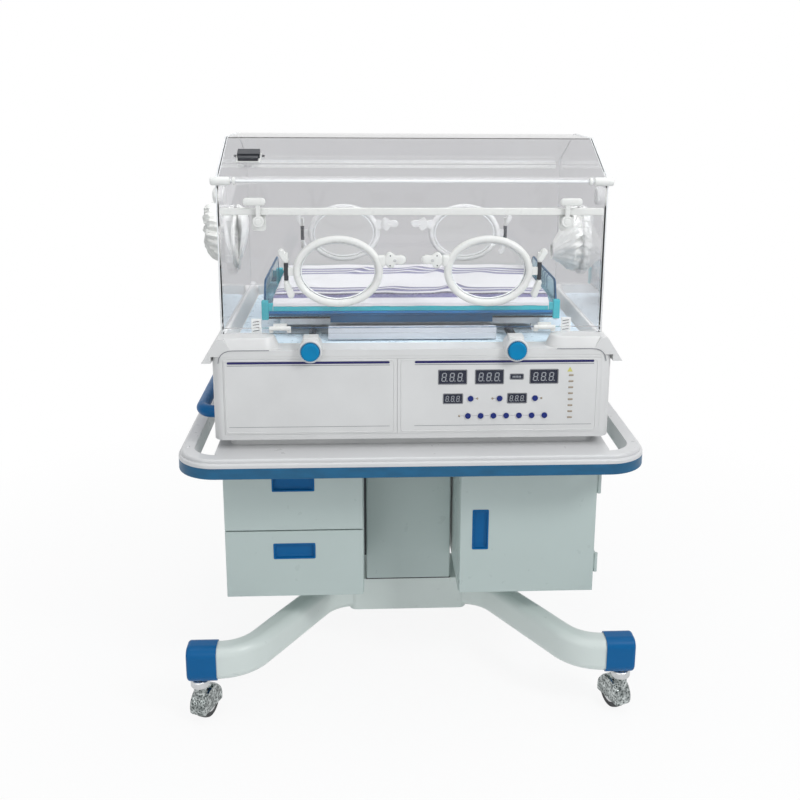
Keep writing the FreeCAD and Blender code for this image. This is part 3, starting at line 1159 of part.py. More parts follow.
def write_parts():
    """Check every object and write each sub-part to its own file."""
    doc.recompute()
    faults = [f"{o.Name}: {o.State}" for o in doc.Objects if "Invalid" in o.State or "Error" in o.State]
    faults += [o.Label for o in NODES if o.Shape.isNull() or not o.Shape.isValid()]
    if faults:
        raise RuntimeError("; ".join(faults))
    os.makedirs("parts", exist_ok=True)
    for piece in NODES:
        piece.Shape.exportStep(os.path.join("parts", piece.Label + ".step"))
    print(len(NODES), "sub-parts,", sum(len(o.Shape.Solids) for o in NODES), "solids")


stand()
cabinets()
control_unit()
air_system()
push_handle()
deck()
bed()
hood()
front_door()
write_parts()
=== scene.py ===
"""Infant incubator: finishes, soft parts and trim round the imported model.

Metres, in the model's own frame: +Z up, front at -Y, +X to the right of a nurse who faces the front.
"""
from __future__ import annotations

import json
import logging
import math
from dataclasses import dataclass, field
from enum import Enum
from typing import Iterable, Protocol, Sequence

import bmesh
import bpy
from mathutils import Matrix, Vector, noise


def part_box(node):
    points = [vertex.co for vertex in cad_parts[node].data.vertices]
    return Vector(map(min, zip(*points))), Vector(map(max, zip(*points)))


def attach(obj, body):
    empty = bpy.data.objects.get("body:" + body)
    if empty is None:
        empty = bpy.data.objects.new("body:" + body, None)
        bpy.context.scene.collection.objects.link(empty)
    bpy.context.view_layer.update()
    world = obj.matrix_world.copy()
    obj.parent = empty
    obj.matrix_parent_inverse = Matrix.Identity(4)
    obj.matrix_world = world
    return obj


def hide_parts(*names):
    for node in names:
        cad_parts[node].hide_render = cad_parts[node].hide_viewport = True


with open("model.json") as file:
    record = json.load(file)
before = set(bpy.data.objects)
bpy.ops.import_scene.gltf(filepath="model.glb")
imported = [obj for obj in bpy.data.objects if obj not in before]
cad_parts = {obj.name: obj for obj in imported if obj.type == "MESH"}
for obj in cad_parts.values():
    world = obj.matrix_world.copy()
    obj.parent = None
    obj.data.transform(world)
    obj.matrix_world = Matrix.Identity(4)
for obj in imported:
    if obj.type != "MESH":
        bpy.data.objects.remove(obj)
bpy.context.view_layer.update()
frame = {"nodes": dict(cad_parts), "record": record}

LOG = logging.getLogger("incubator")
SIDES = {"left": -1, "right": 1}
ENDS = {"front": -1, "rear": 1}
Point = tuple[float, float, float]
Colour = tuple[float, float, float]
Material = bpy.types.Material
Piece = bpy.types.Object
Socket = bpy.types.NodeSocket


def turns(count: int) -> list[float]:
    """Angles that divide a full turn evenly."""
    return [2 * math.pi * i / count for i in range(count)]


class Axis(Enum):
    """Direction that a turned or extruded piece runs along."""

    X = (1.0, 0.0, 0.0)
    Y = (0.0, 1.0, 0.0)
    Z = (0.0, 0.0, 1.0)

    @property
    def vector(self) -> Vector:
        """The axis as a vector."""
        return Vector(self.value)


class Model:
    """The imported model: its nodes and where each lies."""

    def __init__(self, nodes: dict[str, Piece]) -> None:
        """Keep the nodes by name.

        Args:
            nodes: the loaded objects.
        """
        self.nodes = nodes
        self.slot = {name: node.material_slots[0].name for name, node in nodes.items()}
        self.body = {node: body for body, group in frame["record"]["behaviour"]["bodies"].items()
                     for node in group}

    def low(self, node: str) -> Vector:
        """Lowest corner of a node."""
        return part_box(node)[0]

    def high(self, node: str) -> Vector:
        """Highest corner of a node."""
        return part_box(node)[1]

    def centre(self, node: str) -> Vector:
        """Middle of a node's box."""
        low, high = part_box(node)
        return (low + high) / 2

    def dress(self, finish: Material, *nodes: str) -> None:
        """Give whole nodes one finish.

        Args:
            finish: the material.
            nodes: the nodes' names.
        """
        for name in nodes:
            for slot in self.nodes[name].material_slots:
                slot.material = finish


class Wiring:
    """Short calls for the nodes of any tree."""

    def __init__(self, tree: bpy.types.NodeTree) -> None:
        """Take over a tree.

        Args:
            tree: the node tree.
        """
        self.tree = tree

    def add(self, kind: str, **values: object) -> bpy.types.Node:
        """Add a node and fill its inputs by name, underscores standing for spaces.

        Args:
            kind: the node's type.
            values: numbers, colours or sockets for its inputs.

        Returns:
            The node.
        """
        node = self.tree.nodes.new(kind)
        for key, value in values.items():
            self.feed(node.inputs[key.replace("_", " ")], value)
        return node

    def feed(self, socket: Socket, value: object) -> None:
        """Link a socket, or set its plain value."""
        if isinstance(value, Socket):
            self.tree.links.new(value, socket)
        else:
            socket.default_value = value

    def maths(self, kind: str, first: object, second: object = 0.0) -> Socket:
        """One arithmetic step."""
        node = self.add("ShaderNodeMath")
        node.operation = kind
        self.feed(node.inputs[0], first)
        self.feed(node.inputs[1], second)
        return node.outputs[0]

    def mix(self, share: Socket, first: Socket, second: Socket) -> Socket:
        """Blend two shaders."""
        node = self.add("ShaderNodeMixShader")
        for socket, value in zip(node.inputs, (share, first, second)):
            self.feed(socket, value)
        return node.outputs[0]


class Graph(Wiring):
    """Node tree of one material, with short calls for what finishes use."""

    def __init__(self, name: str) -> None:
        """Start a material with a Principled shader.

        Args:
            name: the material's name.
        """
        self.material = bpy.data.materials.new(name)
        self.material.use_nodes = True
        super().__init__(self.material.node_tree)
        self.surface = self.tree.nodes["Principled BSDF"]
        self.place = self.add("ShaderNodeTexCoord").outputs["Object"]

    def set(self, **values: object) -> None:
        """Fill the shader's own sockets."""
        for key, value in values.items():
            self.feed(self.surface.inputs[key.replace("_", " ")], value)

    def stretched(self, scale: Point) -> Socket:
        """Object coordinates scaled along each axis."""
        return self.add("ShaderNodeMapping", Vector=self.place, Scale=scale).outputs["Vector"]

    def noise(self, scale: float, detail: float = 3.0, stretch: Point | None = None) -> Socket:
        """Noise from 0 to 1 on Object coordinates.

        Args:
            scale: features per metre.
            detail: octaves.
            stretch: scaling of the coordinates first.

        Returns:
            The factor.
        """
        vector = self.place if stretch is None else self.stretched(stretch)
        return self.add("ShaderNodeTexNoise", Vector=vector, Scale=scale, Detail=detail).outputs["Fac"]

    def spread(self, factor: Socket, low: float, high: float,
               start: float = 0.3, end: float = 0.7) -> Socket:
        """Map a factor's useful range to a low and a high value."""
        node = self.add("ShaderNodeMapRange", Value=factor)
        for key, value in zip(("From Min", "From Max", "To Min", "To Max"), (start, end, low, high)):
            node.inputs[key].default_value = value
        return node.outputs["Result"]

    def blend(self, factor: object, first: object, second: object) -> Socket:
        """Mix two colours."""
        node = self.tree.nodes.new("ShaderNodeMix")
        node.data_type = "RGBA"
        self.feed(node.inputs[0], factor)
        for socket, value in ((node.inputs[6], first), (node.inputs[7], second)):
            self.feed(socket, (*value, 1.0) if isinstance(value, tuple) else value)
        return node.outputs[2]

    def bump(self, *layers: tuple[Socket, float, float]) -> None:
        """Stack bumps into the shader's normal.

        Args:
            layers: height, strength and distance of each.
        """
        normal = None
        for height, strength, distance in layers:
            node = self.add("ShaderNodeBump", Height=height, Strength=strength, Distance=distance)
            if normal is not None:
                self.feed(node.inputs["Normal"], normal)
            normal = node.outputs["Normal"]
        self.set(Normal=normal)

    def split(self) -> tuple[Socket, ...]:
        """X, Y and Z of the Object coordinates."""
        return tuple(self.add("ShaderNodeSeparateXYZ", Vector=self.place).outputs)


def shade(colour: Colour, amount: float) -> Colour:
    """Colour made lighter or darker by a factor."""
    return tuple(min(1.0, c * amount) for c in colour)


@dataclass(frozen=True)
class Enamel:
    """Sprayed enamel on sheet steel: fine orange peel, faint dust and a clear gloss."""

    name: str
    colour: Colour
    roughness: float = 0.32
    peel: float = 0.06

    def make(self) -> Material:
        """Build the material."""
        g = Graph(self.name)
        cloud = g.noise(5.0, 4.0)
        g.set(Base_Color=g.blend(g.spread(cloud, 0.0, 1.0), shade(self.colour, 0.985),
                                 shade(self.colour, 1.01)),
              Roughness=g.spread(g.noise(38.0, 5.0), self.roughness - 0.05, self.roughness + 0.09),
              Coat_Weight=0.25, Coat_Roughness=0.12, Specular_IOR_Level=0.45)
        g.bump((g.noise(900.0, 2.0), self.peel, 0.0004))
        return g.material


@dataclass(frozen=True)
class Moulding:
    """Moulded plastic: fine spark grain, slight mottling and soft gloss."""

    name: str
    colour: Colour
    roughness: float = 0.35
    grain: float = 0.15
    mottle: float = 0.03
    glow: float = 0.0
    clear: float = 0.0
    gloss: float = 0.5

    def make(self) -> Material:
        """Build the material."""
        g = Graph(self.name)
        tone = g.blend(g.spread(g.noise(11.0, 4.0), 0.0, 1.0),
                       shade(self.colour, 1.0 - self.mottle), shade(self.colour, 1.0 + self.mottle))
        g.set(Base_Color=tone,
              Roughness=g.spread(g.noise(70.0, 4.0), self.roughness - 0.06, self.roughness + 0.08),
              Subsurface_Weight=self.glow, Subsurface_Radius=(0.004, 0.004, 0.004),
              Transmission_Weight=self.clear, Specular_IOR_Level=self.gloss)
        g.bump((g.noise(1500.0, 2.0), self.grain, 0.0003), (g.noise(26.0, 2.0), 0.04, 0.001))
        return g.material


@dataclass(frozen=True)
class ClearSheet:
    """Cast acrylic: a faint tint and wiped smears, with painted shade that darkens the sheet towards the back
    of the hood.
    """

    name: str
    tint: Colour
    roughness: float = 0.001
    shadow: float = 1.0
    # deep: how far the painted shade darkens the tint at the back of the hood.
    deep: float = 0.76

    def make(self) -> Material:
        """Build the material; lamps shine through it as they do through thin clear sheet."""
        g = Graph(self.name)
        smear = g.noise(7.0, 5.0, (1.0, 1.0, 0.35))
        lit = g.add("ShaderNodeLightPath").outputs["Is Shadow Ray"]
        # Painted shade: the colour darkens from the front of the hood to its back.
        back = g.spread(g.split()[1], 0.0, 1.0, -0.25, 0.28)
        tint = g.blend(g.spread(smear, 0.0, 1.0), self.tint, shade(self.tint, 0.98))
        g.set(Base_Color=g.blend(back, tint, shade(self.tint, self.deep)),
              Roughness=g.spread(smear, self.roughness, self.roughness + 0.008),
              Transmission_Weight=1.0, IOR=1.49, Specular_IOR_Level=0.5,
              Alpha=g.maths("SUBTRACT", 1.0, g.maths("MULTIPLY", lit, self.shadow)))
        return g.material


@dataclass(frozen=True)
class TintedTub:
    """Translucent tinted moulding: see-through, its tone varied in soft clouds."""

    name: str
    colour: Colour
    clear: float = 0.55

    def make(self) -> Material:
        """Build the material."""
        g = Graph(self.name)
        cloud = g.noise(14.0, 4.0)
        lit = g.add("ShaderNodeLightPath").outputs["Is Shadow Ray"]
        g.set(Base_Color=g.blend(g.spread(cloud, 0.0, 1.0), self.colour, shade(self.colour, 1.12)),
              Roughness=g.spread(g.noise(40.0, 4.0), 0.08, 0.2), Transmission_Weight=self.clear, IOR=1.5,
              Coat_Weight=0.3, Coat_Roughness=0.08,
              Alpha=g.maths("SUBTRACT", 1.0, g.maths("MULTIPLY", lit, self.clear)))
        g.bump((g.noise(300.0, 2.0), 0.06, 0.0004))
        return g.material


@dataclass(frozen=True)
class Plated:
    """Polished or brushed metal with a faint haze and fine scratches."""

    name: str
    colour: Colour
    roughness: float = 0.12
    brushed: float = 0.0

    def make(self) -> Material:
        """Build the material."""
        g = Graph(self.name)
        haze = g.noise(55.0, 5.0)
        g.set(Base_Color=g.blend(g.spread(haze, 0.0, 1.0), shade(self.colour, 0.85), self.colour),
              Metallic=1.0, Roughness=g.spread(haze, self.roughness, self.roughness + 0.14),
              Anisotropic=self.brushed)
        g.bump((g.noise(420.0, 3.0, (1.0, 0.2, 1.0)), 0.08, 0.0004))
        return g.material


@dataclass(frozen=True)
class Dimpled:
    """Chrome with a hammered, dimpled skin that breaks up what it mirrors. Its colour is a painted
    reflection: near black in the middle of each dimple and bright between them.
    """

    name: str
    bright: Colour
    # deep: the near-black colour of the painted reflection in the middle of each dimple.
    deep: Colour
    dimples: float = 190.0

    def make(self) -> Material:
        """Build the material."""
        g = Graph(self.name)
        cells = g.add("ShaderNodeTexVoronoi", Vector=g.place, Scale=self.dimples)
        cloud = g.noise(75.0, 3.0)
        # Painted reflection: dark in the middle of each dimple and bright towards its edge, in patches.
        painted_reflection = g.maths("MULTIPLY", g.spread(cells.outputs["Distance"], 0.0, 1.0, 0.15, 0.75),
                       g.spread(cloud, 0.25, 1.0))
        g.set(Base_Color=g.blend(painted_reflection, self.deep, self.bright), Metallic=1.0,
              Roughness=g.spread(cloud, 0.06, 0.2))
        g.bump((cells.outputs["Distance"], 0.7, 0.0012), (g.noise(420.0, 3.0), 0.06, 0.0003))
        return g.material


@dataclass(frozen=True)
class Rubber:
    """Satin rubber or vinyl with a matt scuffed skin."""

    name: str
    colour: Colour
    roughness: float = 0.5

    def make(self) -> Material:
        """Build the material."""
        g = Graph(self.name)
        scuff = g.noise(24.0, 6.0, (1.0, 1.0, 3.0))
        g.set(Base_Color=g.blend(g.spread(scuff, 0.0, 1.0), shade(self.colour, 0.88),
                                 shade(self.colour, 1.14)),
              Roughness=g.spread(scuff, self.roughness - 0.08, self.roughness + 0.12),
              Specular_IOR_Level=0.35)
        g.bump((g.noise(800.0, 3.0), 0.2, 0.0003))
        return g.material


@dataclass(frozen=True)
class Film:
    """Thin milky film of the gathered sleeves, with a painted highlight on the ridges of its folds and
    painted shade in their hollows.
    """

    name: str
    colour: Colour
    opacity: float = 0.82

    def make(self) -> Material:
        """Build the material."""
        g = Graph(self.name)
        crease = g.noise(90.0, 4.0, (0.3, 1.0, 1.0))
        # Painted highlight and shade: the colour follows the same noise as the fold bumps and is lighter on
        # the ridges.
        g.set(Base_Color=g.blend(g.spread(crease, 0.0, 1.0), shade(self.colour, 0.93),
                                 shade(self.colour, 1.06)),
              Roughness=g.spread(crease, 0.3, 0.5), Alpha=self.opacity, Sheen_Weight=0.25,
              Subsurface_Weight=0.35, Subsurface_Radius=(0.01, 0.01, 0.01))
        g.bump((crease, 0.35, 0.001))
        return g.material


@dataclass(frozen=True)
class StripedCotton:
    """Plain-weave cotton sheet with groups of three soft stripes along its length."""

    name: str
    colour: Colour
    stripe: Colour
    bands: tuple[tuple[float, float], ...]
    share: float = 0.62

    def make(self) -> Material:
        """Build the material; the bands are read from the cloth's own UV map, in metres."""
        g = Graph(self.name)
        uv = g.add("ShaderNodeTexCoord").outputs["UV"]
        u, v, _ = g.add("ShaderNodeSeparateXYZ", Vector=uv).outputs
        mask = edge = None
        for band, pitch in self.bands:
            width = pitch * self.share
            for line in (-1, 0, 1):
                away = g.maths("ABSOLUTE", g.maths("SUBTRACT", v, band + line * pitch))
                hit = g.spread(away, 1.0, 0.0, width * 0.42, width * 0.52)
                mask = hit if mask is None else g.maths("MAXIMUM", mask, hit)
                rim = g.maths("ABSOLUTE", g.maths("SUBTRACT", v, band + line * pitch + width * 0.42))
                thin = g.spread(rim, 1.0, 0.0, width * 0.1, width * 0.2)
                edge = thin if edge is None else g.maths("MAXIMUM", edge, thin)
        tint = g.blend(mask, self.colour, self.stripe)
        tint = g.blend(edge, tint, shade(self.stripe, 0.25))
        threads = []
        for along in (u, v):
            threads.append(g.maths("SINE", g.maths("MULTIPLY", along, 2 * math.pi / 0.0011)))
        weave = g.maths("MULTIPLY", threads[0], threads[1])
        fuzz = g.noise(350.0, 4.0)
        g.set(Base_Color=g.blend(g.spread(fuzz, 0.0, 0.35), tint, shade(self.colour, 0.9)),
              Roughness=0.85, Sheen_Weight=0.35, Sheen_Roughness=0.4)
        g.bump((weave, 0.18, 0.0003), (fuzz, 0.15, 0.0005))
        return g.material


@dataclass(frozen=True)
class DarkWindow:
    """Smoked display lens: deep, glossy, with a wiped haze."""

    name: str
    colour: Colour

    def make(self) -> Material:
        """Build the material."""
        g = Graph(self.name)
        g.set(Base_Color=g.blend(g.noise(90.0, 3.0), self.colour, shade(self.colour, 1.5)),
              Roughness=g.spread(g.noise(60.0, 4.0), 0.1, 0.22), Specular_IOR_Level=0.3, Coat_Weight=0.1,
              Coat_Roughness=0.04)
        return g.material


class Shape:
    """Points and faces of a piece, gathered before it becomes an object."""

    def __init__(self) -> None:
        """Start empty."""
        self.points: list[Vector] = []
        self.faces: list[tuple[int, ...]] = []

    def add(self, other: Shape) -> Shape:
        """Take over another shape's points and faces."""
        base = len(self.points)
        self.points += other.points
        self.faces += [tuple(base + i for i in face) for face in other.faces]
        return self

    def loft(self, rings: Sequence[Sequence[Vector]], caps: bool = True, closed: bool = False) -> Shape:
        """Skin a run of rings that have as many points each.

        Args:
            rings: the rings, in order.
            caps: close both ends.
            closed: join the last ring to the first.

        Returns:
            This shape.
        """
        base, size = len(self.points), len(rings[0])
        for ring in rings:
            self.points += [Vector(p) for p in ring]
        spans = len(rings) if closed else len(rings) - 1
        for i in range(spans):
            a, b = base + i * size, base + (i + 1) % len(rings) * size
            for j in range(size):
                k = (j + 1) % size
                self.faces.append((a + j, a + k, b + k, b + j))
        if caps and not closed:
            self.faces.append(tuple(base + j for j in reversed(range(size))))
            self.faces.append(tuple(base + (len(rings) - 1) * size + j for j in range(size)))
        return self

    def slab(self, outline: Sequence[Vector], depth: Vector) -> Shape:
        """Outline carried along a depth."""
        return self.loft([outline, [p + depth for p in outline]])

    def block(self, low: Point | Vector, high: Point | Vector) -> Shape:
        """Box between two corners."""
        (x0, y0, z0), (x1, y1, z1) = low, high
        outline = [Vector((x0, y0, z0)), Vector((x1, y0, z0)), Vector((x1, y1, z0)), Vector((x0, y1, z0))]
        return self.slab(outline, Vector((0, 0, z1 - z0)))

    def turned(self, profile: Sequence[tuple[float, float]], centre: Vector, axis: Axis,
               sides: int = 40) -> Shape:
        """Profile of (distance along, radius) turned about an axis."""
        frame_x = axis.vector
        frame_y = Vector((0, 0, 1)) if abs(frame_x.z) < 0.5 else Vector((1, 0, 0))
        frame_z = frame_x.cross(frame_y)
        rings = []
        for along, radius in profile:
            rings.append([centre + frame_x * along
                          + (frame_y * math.cos(t) + frame_z * math.sin(t)) * radius
                          for t in turns(sides)])
        return self.loft(rings)

    def tube(self, path: Sequence[Vector], radius: float, sides: int = 12, closed: bool = False) -> Shape:
        """Round tube along a path."""
        rings = []
        up = Vector((0, 0, 1))
        count = len(path)
        for i, point in enumerate(path):
            ahead = path[(i + 1) % count] if closed or i < count - 1 else point
            behind = path[i - 1] if closed or i > 0 else point
            run = (ahead - behind).normalized()
            side = run.cross(up)
            side = side.normalized() if side.length > 1e-3 else Vector((1, 0, 0))
            up = side.cross(run).normalized()
            rings.append([point + (side * math.cos(t) + up * math.sin(t)) * radius
                          for t in turns(sides)])
        return self.loft(rings, closed=closed)

    def object(self, name: str) -> Piece:
        """Make a scene object at the origin, its faces outwards."""
        mesh = bpy.data.meshes.new(name)
        mesh.from_pydata([tuple(p) for p in self.points], [], self.faces)
        tidy = bmesh.new()
        tidy.from_mesh(mesh)
        bmesh.ops.remove_doubles(tidy, verts=tidy.verts, dist=1e-6)
        bmesh.ops.recalc_face_normals(tidy, faces=tidy.faces)
        tidy.to_mesh(mesh)
        tidy.free()
        piece = bpy.data.objects.new(name, mesh)
        bpy.context.scene.collection.objects.link(piece)
        return piece


SHARP = math.radians(35)


def finish_piece(piece: Piece, finish: Material, body: str,
                 bevel: float = 0.0, replaces: Iterable[str] = ()) -> Piece:
    """Shade, soften, dress and mount a piece.

    Args:
        piece: the object, in place.
        finish: its material.
        body: the body that it rides on.
        bevel: width of its softened edges, or 0.
        replaces: nodes that it stands for.

    Returns:
        The piece.
    """
    piece.data.materials.clear()
    piece.data.materials.append(finish)
    piece.data.shade_smooth()
    piece.data.set_sharp_from_angle(angle=SHARP)
    if bevel:
        soften = piece.modifiers.new("Softened edges", "BEVEL")
        soften.width = bevel
        soften.segments = 3
        soften.limit_method = "ANGLE"
        soften.angle_limit = SHARP
        soften.harden_normals = True
    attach(piece, body)
    names = list(replaces)
    if names:
        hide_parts(*names)
    LOG.info("%s rides on %s", piece.name, body)
    return piece


def oval_loop(centre: Vector, half_x: float, half_z: float, count: int = 96) -> list[Vector]:
    """Points round an upright oval."""
    return [centre + Vector((half_x * math.cos(t), 0, half_z * math.sin(t)))
            for t in turns(count)]


def rounded_rectangle(centre: Vector, half_x: float, half_z: float, radius: float,
                      steps: int = 6) -> list[Vector]:
    """Points round an upright rectangle with round corners."""
    points = []
    for turn, (sx, sz) in enumerate(((1, 1), (-1, 1), (-1, -1), (1, -1))):
        middle = centre + Vector((sx * (half_x - radius), 0, sz * (half_z - radius)))
        for i in range(steps + 1):
            t = math.pi / 2 * (turn + i / steps)
            points.append(middle + Vector((radius * math.cos(t), 0, radius * math.sin(t))))
    return points


class Tree(Wiring):
    """A geometry-node tree with named inputs, run once on an object."""

    def __init__(self, name: str) -> None:
        """Start a tree that takes and gives geometry.

        Args:
            name: the tree's name.
        """
        super().__init__(bpy.data.node_groups.new(name, "GeometryNodeTree"))
        self.inputs: dict[str, str] = {}
        self.tree.interface.new_socket("Geometry", in_out="OUTPUT", socket_type="NodeSocketGeometry")
        self.entry = self.add("NodeGroupInput")
        self.exit = self.add("NodeGroupOutput")
        self.geometry = self.ask("Geometry", "NodeSocketGeometry")

    def ask(self, name: str, kind: str) -> Socket:
        """Add a named input and return its socket inside the tree."""
        item = self.tree.interface.new_socket(name, in_out="INPUT", socket_type=kind)
        self.inputs[name] = item.identifier
        return self.entry.outputs[name]

    def end(self, geometry: Socket, material: Socket) -> Tree:
        """Realize, set the finish and close the tree."""
        real = self.add("GeometryNodeRealizeInstances", Geometry=geometry).outputs["Geometry"]
        dressed = self.add("GeometryNodeSetMaterial", Geometry=real, Material=material).outputs["Geometry"]
        self.tree.links.new(dressed, self.exit.inputs[0])
        return self

    def run(self, piece: Piece, name: str, **values: object) -> Piece:
        """Run the tree on an object and keep the result as a plain mesh.

        Args:
            piece: the unit; it is used up.
            name: the name of the result.
            values: the tree's inputs by name.

        Returns:
            The new object.
        """
        modifier = piece.modifiers.new(name, "NODES")
        modifier.node_group = self.tree
        for key, value in values.items():
            modifier[self.inputs[key]] = value
        ready = piece.evaluated_get(bpy.context.evaluated_depsgraph_get())
        mesh = bpy.data.meshes.new_from_object(ready)
        mesh.name = name
        piece.modifiers.remove(modifier)
        bpy.data.objects.remove(piece)
        made = bpy.data.objects.new(name, mesh)
        bpy.context.scene.collection.objects.link(made)
        return made


def row_tree() -> Tree:
    """Copies of a unit along a straight row."""
    tree = Tree("Row of copies")
    count = tree.ask("Count", "NodeSocketInt")
    step = tree.ask("Step", "NodeSocketVector")
    finish = tree.ask("Finish", "NodeSocketMaterial")
    line = tree.add("GeometryNodeMeshLine", Count=count, Offset=step)
    copies = tree.add("GeometryNodeInstanceOnPoints", Points=line.outputs["Mesh"], Instance=tree.geometry)
    return tree.end(copies.outputs["Instances"], finish)


def ring_tree() -> Tree:
    """Copies of a unit turned about an axis."""
    tree = Tree("Ring of copies")
    count = tree.ask("Count", "NodeSocketInt")
    centre = tree.ask("Centre", "NodeSocketVector")
    axis = tree.ask("Axis", "NodeSocketVector")
    finish = tree.ask("Finish", "NodeSocketMaterial")
    back = tree.add("ShaderNodeVectorMath")
    back.operation = "SCALE"
    tree.feed(back.inputs[0], centre)
    tree.feed(back.inputs["Scale"], -1.0)
    unit = tree.add("GeometryNodeTransform", Geometry=tree.geometry, Translation=back.outputs[0])
    still = tree.add("GeometryNodeMeshLine", Count=count, Start_Location=centre, Offset=(0.0, 0.0, 0.0))
    index = tree.add("GeometryNodeInputIndex").outputs[0]
    angle = tree.maths("MULTIPLY", index, tree.maths("DIVIDE", 2 * math.pi, count))
    turn = tree.add("FunctionNodeAxisAngleToRotation", Axis=axis, Angle=angle)
    copies = tree.add("GeometryNodeInstanceOnPoints", Points=still.outputs["Mesh"],
                      Instance=unit.outputs["Geometry"], Rotation=turn.outputs[0])
    return tree.end(copies.outputs["Instances"], finish)


def sweep_tree() -> Tree:
    """Round bar swept along the unit's own line."""
    tree = Tree("Bar along a line")
    radius = tree.ask("Radius", "NodeSocketFloat")
    sides = tree.ask("Sides", "NodeSocketInt")
    finish = tree.ask("Finish", "NodeSocketMaterial")
    line = tree.add("GeometryNodeMeshToCurve", Mesh=tree.geometry)
    circle = tree.add("GeometryNodeCurvePrimitiveCircle", Resolution=sides, Radius=radius)
    bar = tree.add("GeometryNodeCurveToMesh", Curve=line.outputs["Curve"],
                   Profile_Curve=circle.outputs["Curve"], Fill_Caps=True)
    return tree.end(bar.outputs["Mesh"], finish)


def line_object(points: Sequence[Vector], closed: bool = False) -> Piece:
    """Bare line through points, for a swept bar."""
    mesh = bpy.data.meshes.new("Line")
    edges = [(i, i + 1) for i in range(len(points) - 1)]
    if closed:
        edges.append((len(points) - 1, 0))
    mesh.from_pydata([tuple(p) for p in points], edges, [])
    piece = bpy.data.objects.new("Line", mesh)
    bpy.context.scene.collection.objects.link(piece)
    return piece


class Finish(Protocol):
    """Anything that builds a material."""

    def make(self) -> Material:
        """Build the material."""


def mixed(finish: Finish) -> Material:
    """Dataclass field that holds a finish's material.

    Args:
        finish: the finish.

    Returns:
        The field.
    """
    return field(default_factory=finish.make)


@dataclass(kw_only=True)
class Finishes:
    """Every finish of the part, mixed once."""

    # Painted shade and light: the next three are copies of one pale enamel, made darker or lighter for how
    # the light falls on their parts. The cabinets, drawers, door and column get a shaded copy; the legs, the
    # rail and the top plate get lit copies.
    enamel: Material = mixed(Enamel("Shaded enamel", (0.50, 0.59, 0.57)))
    lit_leg_enamel: Material = mixed(Enamel("Lit leg enamel", (0.70, 0.77, 0.74)))
    lit_rail_enamel: Material = mixed(Enamel("Lit rail enamel", (0.66, 0.665, 0.67)))
    white: Material = mixed(Moulding("White moulding", (0.70, 0.705, 0.70), 0.38))
    milky: Material = mixed(Moulding("Milky moulding", (0.81, 0.82, 0.80), 0.3, 0.06, 0.02, 0.2))
    blue: Material = mixed(Moulding("Bright blue moulding", (0.0, 0.115, 0.32), 0.36, 0.04, 0.03, 0.0, 0.0,
                                    0.2))
    knob_blue: Material = mixed(Moulding("Knob blue", (0.0, 0.22, 0.46), 0.36, 0.04, 0.03, 0.0, 0.0, 0.2))
    deck_tint: Material = mixed(Moulding("Deck moulding", (0.74, 0.88, 0.98), 0.3, 0.06))
    key_blue: Material = mixed(Moulding("Key blue", (0.006, 0.02, 0.17), 0.3, 0.05, 0.03, 0.0, 0.0, 0.3))
    bumper: Material = mixed(Rubber("Bumper vinyl", (0.010, 0.105, 0.22), 0.42))
    clear: Material = mixed(ClearSheet("Clear acrylic", (0.955, 0.955, 0.97), deep=0.93))
    port_clear: Material = mixed(ClearSheet("Clear port sheet", (0.96, 0.965, 0.97), deep=0.97))
    tray: Material = mixed(ClearSheet("Blue tray", (0.50, 0.78, 0.90), 0.01, 0.6, 0.9))
    chrome: Material = mixed(Dimpled("Dimpled chrome", (0.66, 0.71, 0.70), (0.03, 0.04, 0.04)))
    steel: Material = mixed(Plated("Brushed steel", (0.62, 0.63, 0.64), 0.3, 0.4))
    rubber: Material = mixed(Rubber("Wheel rubber", (0.035, 0.037, 0.04)))
    dark: Material = mixed(Moulding("Dark moulding", (0.03, 0.033, 0.04), 0.45))
    window: Material = mixed(DarkWindow("Smoked window", (0.012, 0.015, 0.03)))
    digit: Material = mixed(Moulding("Unlit segment", (0.33, 0.35, 0.38), 0.4, 0.02))
    navy: Material = mixed(Moulding("Navy print", (0.004, 0.004, 0.09), 0.4, 0.02))
    grey_ink: Material = mixed(Moulding("Grey print", (0.22, 0.23, 0.25), 0.5, 0.02))
    cassette: Material = mixed(Moulding("Cassette moulding", (0.52, 0.56, 0.61), 0.35, 0.06))
    board: Material = mixed(Moulding("Circuit board", (0.01, 0.16, 0.06), 0.4))
    film: Material = mixed(Film("Sleeve film", (0.88, 0.89, 0.86)))
    cotton: Material = mixed(StripedCotton("Striped cotton", (0.72, 0.72, 0.74), (0.11, 0.10, 0.27),
                                           ((-0.166, 0.0225), (0.070, 0.032))))
    amber: Material = mixed(Moulding("Amber lens", (0.62, 0.6, 0.16), 0.25, 0.02))
    lens: Material = mixed(Moulding("Unlit lens", (0.36, 0.31, 0.24), 0.22, 0.02))
    polished: Material = mixed(Moulding("Polished edge", (0.86, 0.88, 0.89), 0.12, 0.02, 0.02, 0.3))
    tray_dark: Material = mixed(Moulding("Deep blue edge", (0.010, 0.075, 0.17), 0.35, 0.05, 0.12, 0.0, 0.0,
                                         0.2))
    tray_lip: Material = mixed(TintedTub("Teal lip", (0.03, 0.50, 0.58), 0.2))
    tray_low: Material = mixed(TintedTub("Blue lip", (0.0, 0.16, 0.42), 0.1))
    cotton_plain: Material = mixed(StripedCotton("Plain cotton", (0.85, 0.85, 0.87), (0.85, 0.85, 0.87),
                                                 ((9.0, 0.03),)))


